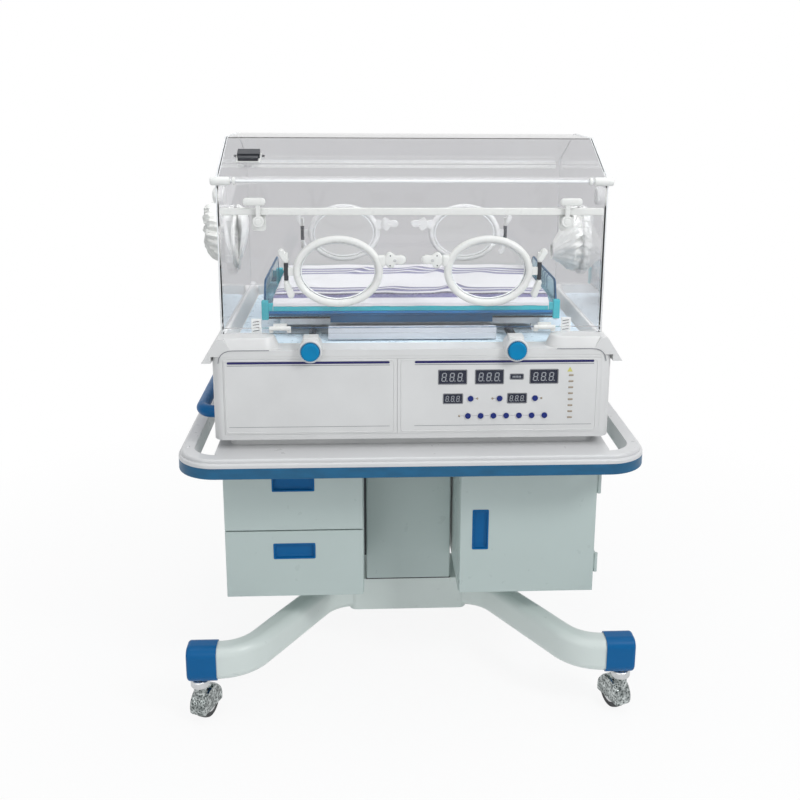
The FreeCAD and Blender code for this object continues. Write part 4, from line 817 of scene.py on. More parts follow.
@dataclass
class Workshop(Finishes):
    """Model, finishes and trees that every sub-assembly draws on."""

    model: Model
    row: Tree = field(default_factory=row_tree)
    ring: Tree = field(default_factory=ring_tree)
    sweep: Tree = field(default_factory=sweep_tree)

    def fit(self, shape: Shape, name: str, finish: Material, body: str, slot: str, bevel: float = 0.0,
            replaces: Iterable[str] = ()) -> Piece:
        """Make a shape an object and mount it.

        Args:
            shape: its points and faces.
            name: the piece's name.
            finish: its material.
            body: the body that it rides on.
            slot: not used.
            bevel: width of its softened edges.
            replaces: nodes that it stands for.

        Returns:
            The piece.
        """
        return finish_piece(shape.object(name), finish, body, bevel, replaces)

    def bar(self, points: Sequence[Vector], name: str, finish: Material, body: str, slot: str, radius: float,
            sides: int, closed: bool = False, replaces: Iterable[str] = ()) -> Piece:
        """Round bar along a line, mounted.

        Args:
            points: the line.
            name: the piece's name.
            finish: its material.
            body: the body that it rides on.
            slot: not used.
            radius: its radius.
            sides: facets round it.
            closed: join its ends.
            replaces: nodes that it stands for.

        Returns:
            The piece.
        """
        line = line_object(points, closed)
        piece = self.sweep.run(line, name, Radius=radius, Sides=sides, Finish=finish)
        return finish_piece(piece, finish, body, 0.0, replaces)

    def copies(self, unit: Piece, name: str, finish: Material, body: str, slot: str, count: int, step: Point,
               bevel: float = 0.0) -> Piece:
        """Straight row of copies of a unit, mounted.

        Args:
            unit: the unit; it is used up.
            name: the row's name.
            finish: its material.
            body: the body that it rides on.
            slot: not used.
            count: how many.
            step: from one to the next.
            bevel: width of the softened edges.

        Returns:
            The piece.
        """
        return finish_piece(self.row.run(unit, name, Count=count, Step=step, Finish=finish), finish, body,
                            bevel)

    def carve(self, node: str, *planes: tuple[Vector, Vector], ring: bool = False) -> Shape:
        """Merged copy of a node's mesh, cut off beyond each plane.

        Args:
            node: the node.
            planes: a point and the outward direction of each cut.
            ring: whether each cut crosses a closed band, so that its face is a ring.

        Returns:
            The closed shape that is left.
        """
        work = bmesh.new()
        work.from_mesh(self.model.nodes[node].data)
        bmesh.ops.remove_doubles(work, verts=work.verts, dist=2e-6)
        for point, outward in planes:
            bmesh.ops.bisect_plane(work, geom=work.verts[:] + work.edges[:] + work.faces[:], dist=1e-7,
                                   plane_co=point, plane_no=outward, clear_outer=True)
            border = [e for e in work.edges if e.is_boundary]
            if ring:
                bmesh.ops.bridge_loops(work, edges=border)
            else:
                bmesh.ops.holes_fill(work, edges=border, sides=0)
        bmesh.ops.dissolve_limit(work, angle_limit=math.radians(0.5), verts=work.verts, edges=work.edges)
        shape = Shape()
        work.verts.index_update()
        shape.points = [v.co.copy() for v in work.verts]
        shape.faces = [tuple(v.index for v in f.verts) for f in work.faces]
        work.free()
        return shape

    def soften(self, node: str, finish: Material, width: float) -> Piece:
        """Stand-in for a node with its sharp edges eased.

        Args:
            node: the node.
            finish: its material.
            width: width of the eased edge.

        Returns:
            The piece.
        """
        name = "".join(word.capitalize() for word in node.split("_"))
        return self.fit(self.carve(node), name, finish, self.model.body[node], self.model.slot[node], width,
                        (node,))

    def screw(self, spot: Vector, axis: Axis, radius: float, way: int = 1) -> Piece:
        """Cross-head screw, its head facing along the axis.

        Args:
            spot: middle of its head, on the surface.
            axis: the axis.
            radius: radius of the head.
            way: 1 or -1 along the axis.

        Returns:
            The object, not yet mounted.
        """
        shape = Shape().turned([(-way * 0.001, radius * 0.9), (way * 0.0001, radius),
                                (way * radius * 0.18, radius * 0.94), (way * radius * 0.30, radius * 0.7),
                                (way * radius * 0.34, radius * 0.45), (way * radius * 0.16, radius * 0.36),
                                (way * radius * 0.1, radius * 0.1)], spot, axis, 24)
        return shape.object("Screw")


@dataclass
class Stage:
    """Camera, lamps, floor and white surroundings."""

    eye: Point = (-0.101, -2.484, 1.492)
    yaw: float = math.radians(3.03)
    pitch: float = math.radians(13.54)
    roll: float = math.radians(0.41)
    lens: float = 45.0
    shift: tuple[float, float] = (-0.025, -0.1)
    near: float = 0.5
    far: float = 2.0
    behind: float = 0.64
    room: float = 0.32
    floor_radius: float = 9.0

    def camera(self) -> None:
        """Stand the camera where the photograph was taken."""
        data = bpy.data.cameras.new("Camera")
        data.lens = self.lens
        data.sensor_width = 36.0
        data.shift_x, data.shift_y = self.shift
        camera = bpy.data.objects.new("Camera", data)
        bpy.context.scene.collection.objects.link(camera)
        ahead = Vector((math.sin(self.yaw) * math.cos(self.pitch), math.cos(self.yaw) * math.cos(self.pitch),
                        -math.sin(self.pitch)))
        right = Vector((math.cos(self.yaw), -math.sin(self.yaw), 0))
        up = right.cross(ahead)
        tilted_right = right * math.cos(self.roll) + up * math.sin(self.roll)
        tilted_up = up * math.cos(self.roll) - right * math.sin(self.roll)
        turn = Matrix((tilted_right, tilted_up, -ahead)).transposed().to_4x4()
        camera.matrix_world = Matrix.Translation(Vector(self.eye)) @ turn
        bpy.context.scene.camera = camera

    def lamp(self, name: str, spot: Point, aim: Point, size: float, power: float) -> None:
        """Hang one soft box.

        Args:
            name: its name.
            spot: where it hangs.
            aim: where it points.
            size: its side.
            power: watts.
        """
        data = bpy.data.lights.new(name, "AREA")
        data.shape = "SQUARE"
        data.size = size
        data.energy = power
        lamp = bpy.data.objects.new(name, data)
        bpy.context.scene.collection.objects.link(lamp)
        look = (Vector(aim) - Vector(spot)).to_track_quat("-Z", "Y")
        lamp.matrix_world = Matrix.Translation(Vector(spot)) @ look.to_matrix().to_4x4()

    def lamps(self) -> None:
        """Soft studio light: a key high on the right, a broad fill on the left and a box overhead."""
        self.lamp("Top box", (0.0, -0.3, 3.4), (0, 0, 0.8), 2.4, 36)
        self.lamp("Key box", (2.2, -2.4, 3.0), (0, -0.2, 0.75), 0.9, 56)
        self.lamp("Fill box", (-1.8, -3.2, 1.9), (0, 0, 0.8), 2.4, 26)

    def surroundings(self, wiring: Wiring) -> tuple[Socket, Socket]:
        """Tell which rays see the white surroundings, and how bright.

        Args:
            wiring: the tree that asks.

        Returns:
            1 for a ray that sees them (camera, mirror and clear sheet, before any diffuse bounce), and their
            strength, which is a pale grey through clear sheet.
        """
        path = wiring.add("ShaderNodeLightPath").outputs
        seen = wiring.maths("MAXIMUM", path["Is Camera Ray"], path["Is Glossy Ray"])
        seen = wiring.maths("MAXIMUM", seen, path["Is Transmission Ray"])
        seen = wiring.maths("MULTIPLY", seen, wiring.maths("LESS_THAN", path["Diffuse Depth"], 0.5))
        dim = wiring.maths("MULTIPLY", path["Is Transmission Ray"], 1.0 - self.behind)
        return seen, wiring.maths("SUBTRACT", 1.0, dim)

    def world(self) -> None:
        """Even bluish light for the part, under white surroundings."""
        world = bpy.data.worlds.new("Studio")
        bpy.context.scene.world = world
        world.use_nodes = True
        wiring = Wiring(world.node_tree)
        wiring.tree.nodes.clear()
        seen, strength = self.surroundings(wiring)
        room = wiring.add("ShaderNodeBackground", Color=(0.92, 0.95, 1.0, 1.0), Strength=self.room)
        white = wiring.add("ShaderNodeBackground", Color=(1.0, 1.0, 1.0, 1.0), Strength=strength)
        wiring.add("ShaderNodeOutputWorld", Surface=wiring.mix(seen, room.outputs[0], white.outputs[0]))

    def floor(self) -> None:
        """Pale round floor that keeps the shadow and fades to white."""
        shape = Shape()
        shape.points = [Vector((self.floor_radius * math.cos(t), self.floor_radius * math.sin(t), 0))
                        for t in turns(96)]
        shape.faces = [tuple(range(96))]
        floor = shape.object("Studio_floor")
        if floor.data.polygons[0].normal.z < 0:
            floor.data.flip_normals()
        g = Graph("Floor paint")
        x, y, _ = g.split()
        away = g.maths("SQRT", g.maths("ADD", g.maths("MULTIPLY", x, x), g.maths("MULTIPLY", y, y)))
        fade = g.spread(away, 0.9, 1.0, self.near, self.far)
        seen, strength = self.surroundings(g)
        g.set(Base_Color=(0.9, 0.905, 0.91, 1.0), Roughness=0.9)
        white = g.add("ShaderNodeEmission", Color=(1.0, 1.0, 1.0, 1.0), Strength=strength)
        paint = g.mix(g.maths("MULTIPLY", seen, fade), g.surface.outputs[0], white.outputs[0])
        g.feed(g.tree.nodes["Material Output"].inputs["Surface"], paint)
        floor.data.materials.append(g.material)

    def build(self) -> None:
        """Set the whole stage."""
        self.camera()
        self.lamps()
        self.world()
        self.floor()
        bpy.context.scene.view_settings.view_transform = "Standard"


@dataclass
class PullCup:
    """Blue cup pressed into a front's pull pocket."""

    name: str
    body: str
    centre: tuple[float, float]
    half: tuple[float, float]
    face: float = -0.2703
    depth: float = 0.009
    rim: float = 0.0012
    proud: float = 0.0010

    def build(self, shop: Workshop) -> None:
        """Mould the cup."""
        (x, z), (w, h) = self.centre, self.half
        profile = [
            (w - 0.0009, h - 0.0009, self.depth - 0.0005, 0.004), (w - 0.0009, h - 0.0009, -0.0001, 0.004),
            (w + self.rim, h + self.rim, -0.0001, 0.003),
            (w + self.rim, h + self.rim, -self.proud * 0.6, 0.003),
            (w + self.rim * 0.75, h + self.rim * 0.75, -self.proud, 0.003),
            (w - 0.0005, h - 0.0005, -self.proud, 0.003), (w - 0.0022, h - 0.0022, -self.proud * 0.4, 0.004),
            (w - 0.003, h - 0.003, self.depth * 0.5, 0.004),
            (w - 0.0055, h - 0.0055, self.depth - 0.0022, 0.004),
            (w - 0.012, h - 0.012, self.depth - 0.0015, 0.002),
        ]
        rings = [rounded_rectangle(Vector((x, self.face + y, z)), a, b, r, 8) for a, b, y, r in profile]
        shop.fit(Shape().loft(rings), self.name, shop.blue, self.body, "blue_plastic")


@dataclass
class Stand:
    """Trolley: frame, caps, casters, plate, rail, cabinets and push handle."""

    shop: Workshop
    drawer_pull: tuple[float, float] = (0.049, 0.019)
    door_pull: tuple[float, float] = (0.0185, 0.0505)
    pull_x: float = -0.281
    door_pull_x: float = 0.1655
    rail_top: float = 0.673
    rail_x: float = 0.514
    roll: float = 0.0100
    beam_top: float = 0.206

    def build(self) -> None:
        """Dress the whole stand."""
        shop, model = self.shop, self.shop.model
        # Painted shade and light: the column, cabinets and fronts take the shaded copy of the enamel, and the
        # legs, rail and plate take lit copies.
        model.dress(shop.enamel, "column")
        model.dress(shop.lit_leg_enamel, "base_frame")
        model.dress(shop.lit_rail_enamel, "top_plate", "rail_frame")
        for node in ("left_cabinet", "right_cabinet", "upper_drawer", "lower_drawer", "cabinet_door"):
            shop.soften(node, shop.enamel, 0.0012)
        model.dress(shop.blue, "leg_caps", "push_handle")
        self.bumper()
        self.pulls()
        self.casters()
        self.fixings()

    def bumper(self) -> None:
        """Blue vinyl band, and the pale roll of the rail above it."""
        shop = self.shop
        level = Vector((0, 0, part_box("bumper")[1].z - self.roll))
        up = Vector((0, 0, 1))
        slot = shop.model.slot["bumper"]
        shop.fit(shop.carve("bumper", (level, up), ring=True), "Bumper_band", shop.bumper, "root", slot,
                 0.0018, ("bumper",))
        roll = shop.carve("bumper", (level, -up), ring=True)
        shop.fit(roll, "Rail_roll", shop.lit_rail_enamel, "root", slot, 0.0030, ("bumper",))

    def pulls(self) -> None:
        """Cups of both drawers and the door."""
        PullCup("Upper_pull_cup", "upper_drawer", (self.pull_x, 0.563), self.drawer_pull).build(self.shop)
        PullCup("Lower_pull_cup", "lower_drawer", (self.pull_x, 0.390), self.drawer_pull).build(self.shop)
        PullCup("Door_pull_cup", "cabinet_door", (self.door_pull_x, 0.438), self.door_pull).build(self.shop)

    def casters(self) -> None:
        """Chrome hoods, rubber tyres, their hubs and the grey collars under the caps."""
        shop, model = self.shop, self.shop.model
        for end, sy in ENDS.items():
            for side, sx in SIDES.items():
                tag = f"{end}_{side}"
                model.dress(shop.chrome, f"caster_hood_{tag}")
                model.dress(shop.rubber, f"caster_wheel_{tag}")
                collar = Shape().turned([(0.0935, 0.0165), (0.0935, 0.0205), (0.097, 0.0225), (0.108, 0.0225),
                                         (0.111, 0.0205), (0.1135, 0.0165)],
                                        Vector((sx * 0.503, sy * 0.360, 0)), Axis.Z, 48)
                shop.fit(collar, f"Caster_collar_{tag}", shop.steel, f"caster_{tag}", "steel")
                self.hub(tag)

    def hub(self, tag: str) -> None:
        """Pressed hub disc on each side of a wheel."""
        low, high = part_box(f"caster_wheel_{tag}")
        centre = (low + high) / 2
        record = [j for j in frame["record"]["behaviour"]["joints"] if j["name"] == f"wheel_roll_{tag}"][0]
        run = Vector(record["axis"]).normalized()
        up = Vector((0, 0, 1))
        side = run.cross(up)
        shape = Shape()
        for way in (-1, 1):
            rings = []
            for along, radius in ((0.0149, 0.0235), (0.0156, 0.023), (0.0156, 0.019), (0.0149, 0.0175),
                                  (0.0149, 0.009), (0.0162, 0.008), (0.0162, 0.0055)):
                rings.append([centre + run * (way * along) + (side * math.cos(t) + up * math.sin(t)) * radius
                              for t in turns(40)])
            back = [p - run * (way * 0.001) for p in rings[0]]
            shape.loft([back] + rings)
        self.shop.fit(shape, f"Wheel_hub_{tag}", self.shop.steel, f"wheel_{tag}", "steel")

    def fixings(self) -> None:
        """Screws down the side rails, a dark band of painted shade round the column's foot, and a dark sheet
        of painted shade in the gap beside it.
        """
        shop = self.shop
        for side, sx in SIDES.items():
            screw = shop.screw(Vector((sx * self.rail_x, -0.31, self.rail_top)), Axis.Z, 0.0038)
            shop.copies(screw, f"Rail_screws_{side}", shop.steel, "root", "steel", 3, (0.0, 0.31, 0.0))
        low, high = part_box("column")
        base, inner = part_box("left_cabinet")
        # Painted shade: a near-black sheet in the gap between the left cabinet and the column.
        shade_sheet = Shape().block((inner.x - 0.0005, low.y + 0.004, base.z + 0.004),
                               (low.x + 0.0005, low.y + 0.007, 0.655))
        shop.fit(shade_sheet, "Cabinet_gap_shade", shop.dark, "root", "dark_plastic")
        # Painted shade: a dark band round the column's foot, where its joint with the beam lies in shade.
        seam = Shape().block((low.x - 0.0006, low.y - 0.0006, self.beam_top + 0.0002),
                             (high.x + 0.0006, high.y + 0.0006, self.beam_top + 0.0026))
        shop.fit(seam, "Column_foot_shade", shop.dark, "root", "dark_plastic")


class Edge(Enum):
    """Which way a digit's bar runs."""

    FLAT = 0
    UPRIGHT = 1


@dataclass
class Prints:
    """Thin printed or inlaid shapes on the front panels, gathered by colour."""

    face: float = -0.3310
    thickness: float = 0.00025

    def __post_init__(self) -> None:
        """Start with nothing printed."""
        self.shape = Shape()

    def bar(self, x0: float, x1: float, z: float, width: float) -> None:
        """Level bar with round ends."""
        self.round((x0 + x1) / 2, z, (x1 - x0) / 2, width / 2, width / 2 - 1e-5)

    def round(self, x: float, z: float, half_x: float, half_z: float, radius: float) -> None:
        """Rounded rectangle."""
        outline = rounded_rectangle(Vector((x, self.face, z)), half_x, half_z, radius, 5)
        self.shape.slab(outline, Vector((0, -self.thickness, 0)))

    def fit(self, shop: Workshop, name: str, finish: Material, slot: str = "white_plastic") -> None:
        """Lay the shapes on the panel."""
        shop.fit(self.shape, name, finish, "root", slot)


@dataclass
class ControlUnit:
    """Casing, panels, displays and keys, with what the casing hides."""

    shop: Workshop
    panel: float = -0.3310
    window: float = -0.3316
    big: tuple[float, ...] = (0.0875, 0.171, 0.295)
    small: tuple[float, ...] = (0.089, 0.235)
    big_z: float = 0.840
    small_z: float = 0.789
    lamp_x: float = 0.357
    lamp_top: float = 0.8426
    lamp_step: float = 0.0143
    back: float = 0.330
    pad_y: float = -0.293
    pad_cut: tuple[float, float] = (0.300, 0.306)
    pad_end: float = 0.342
    key_radius: float = 0.0065
    key_x: float = 0.1235
    key_pitch: float = 0.0292
    key_z: float = 0.748
    digit_lean: float = 0.12
    lights: tuple[tuple[float, float, float], ...] = (
        (0.1443, 0.789, 0.129), (0.1791, 0.789, 0.195), (0.2906, 0.789, 0.276), (0.1038, 0.748, 0.1235))

    def build(self) -> None:
        """Dress the unit."""
        shop, model = self.shop, self.shop.model
        shop.soften("control_housing", shop.white, 0.0012)
        shop.soften("left_fascia", shop.white, 0.0009)
        shop.soften("control_panel", shop.white, 0.0009)
        self.deck()
        self.deck_liner()
        model.dress(shop.window, "display_windows")
        model.dress(shop.board, "control_board")
        model.dress(shop.dark, "air_impeller", "humidifier_tank")
        model.dress(shop.steel, "warm_air_unit")
        self.keys()
        self.left_fascia()
        self.right_panel()
        self.displays()
        self.lamps()
        self.rear()

    def deck(self) -> None:
        """Deck with rounded front corner pads, and a grey line of painted shadow under each."""
        shop = self.shop
        shape = shop.carve("deck")
        near, far = self.pad_cut
        for point in shape.points:
            if near < abs(point.x) < far and point.y < -0.25 and point.z > 0.904:
                point.x = math.copysign(self.pad_end, point.x)
        shop.fit(shape, "Deck", shop.white, "root", shop.model.slot["deck"], 0.0022, ("deck",))
        for side, sx in SIDES.items():
            rings = []
            for z, half in ((0.9042, 0.0374), (0.9080, 0.0364), (0.9262, 0.0284), (0.9290, 0.0270),
                            (0.9303, 0.0254)):
                ring = [Vector((sx * (0.3395 - half * math.sin(t)), self.pad_y - half * math.cos(t), z))
                        for t in (math.pi * i / 16 for i in range(17))]
                rings.append(ring + [Vector((sx * 0.4215, self.pad_y + s * half, z)) for s in (1, -1)])
            shop.fit(Shape().loft(rings), f"Deck_pad_{side}", shop.white, "root", "white_plastic", 0.0,
                     ("deck",))
            # Painted shadow: a grey line along the pad's lower edge, where its shadow falls.
            path = [Vector((sx * x, -0.3306, z)) for x, z in
                    ((0.322, 0.9046), (0.360, 0.9046), (0.402, 0.9046), (0.412, 0.9036), (0.421, 0.9004),
                     (0.428, 0.8950), (0.4325, 0.8880), (0.4345, 0.8800), (0.4350, 0.8755))]
            shop.bar(path, f"Deck_pad_shadow_{side}", shop.grey_ink, "root", "white_plastic", 0.0009, 8)

    def deck_liner(self) -> None:
        """Thin bluish liner over the deck's floor under the hood."""
        outline = rounded_rectangle(Vector((0, 0, 0)), 0.405, 0.268, 0.02, 8)
        rings = [[Vector((p.x, p.z, z)) for p in outline] for z in (0.9047, 0.9058)]
        self.shop.fit(Shape().loft(rings), "Deck_liner", self.shop.deck_tint, "root", "white_plastic", 0.0004)

    def keys(self) -> None:
        """Domed caps over the ten keys, in thin collars."""
        shop = self.shop
        collars = Shape()
        for i in range(1, 11):
            low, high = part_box(f"key_{i}")
            middle = (low + high) / 2
            front = Vector((middle.x, low.y, middle.z))
            radius = self.key_radius
            dome = [(0.0045, radius * 0.9), (0.0012, radius), (0.0005, radius * 0.96), (0.0, radius * 0.82),
                    (-0.0001, radius * 0.72), (0.0003, radius * 0.5), (0.0005, radius * 0.2)]
            shape = Shape().turned(dome, front, Axis.Y, 36)
            shop.fit(shape, f"Key_cap_{i}", shop.key_blue, f"key_{i}", "key_blue")
            collars.turned([(0.0, 0.0072), (0.0, 0.0083), (-0.0005, 0.0083), (-0.0008, 0.0079),
                            (-0.0005, 0.0072)][::-1],
                           Vector((middle.x, self.panel, middle.z)), Axis.Y, 36)
            shop.model.dress(shop.key_blue, f"key_{i}")
        shop.fit(collars, "Key_collars", shop.white, "root", "white_plastic")

    def frame_bead(self, name: str, x0: float, x1: float, z0: float, z1: float) -> None:
        """Raised border of a panel."""
        shop = self.shop
        centre = Vector(((x0 + x1) / 2, self.panel, (z0 + z1) / 2))
        shop.bar(rounded_rectangle(centre, (x1 - x0) / 2, (z1 - z0) / 2, 0.008, 8), name, shop.white, "root",
                 "white_plastic", 0.0011, 10, True)

    def rules(self, x0: float, x1: float) -> tuple[Prints, Prints]:
        """Navy rule of a panel, and the grey hairlines under it and near the foot."""
        navy, grey = Prints(self.panel), Prints(self.panel)
        navy.bar(x0, x1, 0.8759, 0.0056)
        grey.bar(x0, x1, 0.8698, 0.0014)
        grey.bar(x0, x1, 0.7256, 0.0009)
        return navy, grey

    def left_fascia(self) -> None:
        """Navy rule, its blue-grey shadow line and the lower hairline of the bare left fascia."""
        shop = self.shop
        navy, grey = self.rules(-0.4158, -0.054)
        navy.fit(shop, "Left_navy_rule", shop.navy)
        grey.fit(shop, "Left_hairlines", shop.grey_ink)
        self.frame_bead("Left_border", -0.4215, -0.0445, 0.7125, 0.8808)

    def right_panel(self) -> None:
        """Rules, borders, window frames and the thin links between lights and keys."""
        shop = self.shop
        navy, grey = self.rules(0.0018, 0.4083)
        navy.fit(shop, "Right_navy_rule", shop.navy)
        for x, z, key in self.lights:
            side = 1 if key > x else -1
            grey.bar(min(x + side * 0.003, key - side * 0.0085), max(x + side * 0.003, key - side * 0.0085),
                     z, 0.0006)
        for i in range(6):
            grey.bar(self.key_x + i * self.key_pitch + 0.009, self.key_x + (i + 1) * self.key_pitch - 0.009,
                     self.key_z, 0.0005)
        grey.fit(shop, "Right_hairlines", shop.grey_ink)
        self.frame_bead("Right_border", -0.0285, 0.4165, 0.7125, 0.8808)
        for i, (x, z, w, h) in enumerate(self.windows()):
            border = rounded_rectangle(Vector((x, self.panel, z)), w / 2 + 0.0012, h / 2 + 0.0012, 0.0018, 4)
            shop.bar(border, f"Window_frame_{i + 1}", shop.grey_ink, "root", "white_plastic", 0.0009, 8, True)

    def windows(self) -> list[tuple[float, float, float, float]]:
        """Middle and size of each window."""
        places = [(x, self.big_z, 0.062, 0.031) for x in self.big]
        places += [(x, self.small_z, 0.042, 0.021) for x in self.small]
        return places + [(0.233, self.big_z, 0.028, 0.0105)]

    def digit(self, x: float, z: float, height: float) -> Shape:
        """Seven slanted bars and a point."""
        shape = Shape()
        width, bar = height * 0.52, height * 0.105
        lean = self.digit_lean

        def segment(cx: float, cz: float, length: float, way: Edge) -> None:
            """One bar with pointed ends."""
            half, thick = length / 2 - bar * 0.14, bar / 2
            corners = [(-half, 0), (-half + thick, thick), (half - thick, thick), (half, 0),
                       (half - thick, -thick), (-half + thick, -thick)]
            if way is Edge.UPRIGHT:
                corners = [(b, a) for a, b in corners]
            outline = [Vector((x + cx + a + lean * (cz + b), self.window, z + cz + b)) for a, b in corners]
            shape.slab(outline, Vector((0, -0.0002, 0)))

        w, h = width / 2 - bar / 2, height / 2 - bar / 2
        for level in (-1, 0, 1):
            segment(0, level * h, 2 * w, Edge.FLAT)
        for sx in (-1, 1):
            for sz in (-1, 1):
                segment(sx * w, sz * h / 2, h, Edge.UPRIGHT)
        point = Vector((x + w + bar * 1.6 - lean * h, self.window, z - h))
        shape.slab([point + Vector((bar * 0.6 * math.cos(t), 0, bar * 0.6 * math.sin(t)))
                    for t in turns(12)], Vector((0, -0.0002, 0)))
        return shape

    def displays(self) -> None:
        """Unlit digits behind the smoked windows, three to each."""
        shop = self.shop
        for i, (x, z, w, h) in enumerate(self.windows()[:5]):
            pitch = w * 0.29
            unit = self.digit(x - pitch - w * 0.02, z, h * 0.66).object("Digit")
            shop.copies(unit, f"Digits_{i + 1}", shop.digit, "root", "display_glass", 3, (pitch, 0.0, 0.0))
        dash = Shape().slab(rounded_rectangle(Vector((0.2245, self.window, self.big_z)), 0.0011, 0.0024,
                                              0.0003, 3),
                            Vector((0, -0.0002, 0))).object("Dash")
        shop.copies(dash, "Bar_segments", shop.digit, "root", "display_glass", 6, (0.0034, 0.0, 0.0))

    def lamps(self) -> None:
        """Column of eight lamps, four small lights and the warning triangle."""
        shop = self.shop
        x, face = self.lamp_x, self.panel
        rings = [rounded_rectangle(Vector((x, face + y, self.lamp_top)), a, b, 0.0012, 4)
                 for a, b, y in ((0.0056, 0.0021, 0.0002), (0.0056, 0.0021, -0.0006),
                                 (0.005, 0.0015, -0.0011))]
        lamp = Shape().loft(rings).object("Lamp")
        shop.copies(lamp, "Status_lamps", shop.lens, "root", "display_glass", 8, (0.0, 0.0, -self.lamp_step))
        beads = Shape()
        for lx, lz, _key in self.lights:
            beads.turned([(0.0002, 0.0025), (-0.0008, 0.0024), (-0.0017, 0.0016), (-0.002, 0.0006)],
                         Vector((lx, face, lz)), Axis.Y, 20)
        shop.fit(beads, "Key_lights", shop.lens, "root", "display_glass")
        cx, cz, half = 0.3537, 0.8563, 0.0062
        corners = [Vector((cx - half, face, cz - half * 0.85)), Vector((cx + half, face, cz - half * 0.85)),
                   Vector((cx, face, cz + half * 0.95))]
        shop.fit(Shape().slab(corners, Vector((0, -0.0008, 0))), "Alarm_lens", shop.amber, "root",
                 "display_glass", 0.0004)

    def rear(self) -> None:
        """Vent slats, filter cover, mains inlet and earth post on the back."""
        shop = self.shop
        back = self.back
        slat = Shape().block((-0.36, back - 0.0005, 0.742), (-0.22, back + 0.0022, 0.7455)).object("Slat")
        shop.copies(slat, "Rear_vent_slats", shop.white, "root", "white_plastic", 12, (0.0, 0.0, 0.0085),
                    0.0006)
        border = [Vector((x, back, z)) for x, z in ((-0.372, 0.732), (-0.208, 0.732), (-0.208, 0.848),
                                                    (-0.372, 0.848))]
        shop.bar(border, "Rear_vent_rim", shop.white, "root", "white_plastic", 0.0022, 10, True)
        cover = [rounded_rectangle(Vector((0.09, back + y, 0.795)), a, b, 0.012, 8)
                 for a, b, y in ((0.092, 0.062, -0.0005), (0.092, 0.062, 0.008), (0.088, 0.058, 0.012),
                                 (0.06, 0.035, 0.0125))]
        shop.fit(Shape().loft(cover), "Filter_cover", shop.white, "root", "white_plastic")
        for i, (x, z) in enumerate(((0.012, 0.747), (0.168, 0.747), (0.012, 0.843), (0.168, 0.843))):
            shop.fit(Shape().turned([(0.0, 0.009), (0.018, 0.0085), (0.02, 0.007), (0.0203, 0.003)],
                                    Vector((x, back + 0.0115, z)), Axis.Y, 28), f"Filter_knob_{i + 1}",
                     shop.dark, "root", "dark_plastic")
        inlet = [rounded_rectangle(Vector((0.30, back + y, 0.755)), a, b, 0.004, 5)
                 for a, b, y in ((0.03, 0.022, -0.0005), (0.03, 0.022, 0.003), (0.028, 0.02, 0.0045),
                                 (0.016, 0.0115, 0.0045), (0.0152, 0.0107, 0.0008))]
        shop.fit(Shape().loft(inlet), "Mains_inlet", shop.dark, "root", "dark_plastic")
        for x, z in ((0.292, 0.752), (0.30, 0.759), (0.308, 0.752)):
            shop.fit(Shape().block((x - 0.001, back + 0.0005, z - 0.003),
                                   (x + 0.001, back + 0.0042, z + 0.003)),
                     f"Inlet_pin_{round(x * 1000)}", shop.steel, "root", "steel", 0.0003)
        for i, x in enumerate((0.352, 0.378)):
            shop.fit(Shape().turned([(0.0, 0.009), (0.004, 0.009), (0.005, 0.0075), (0.012, 0.0072),
                                     (0.0135, 0.006), (0.0138, 0.002)], Vector((x, back, 0.755)), Axis.Y, 28),
                     f"Fuse_cap_{i + 1}", shop.dark, "root", "dark_plastic")


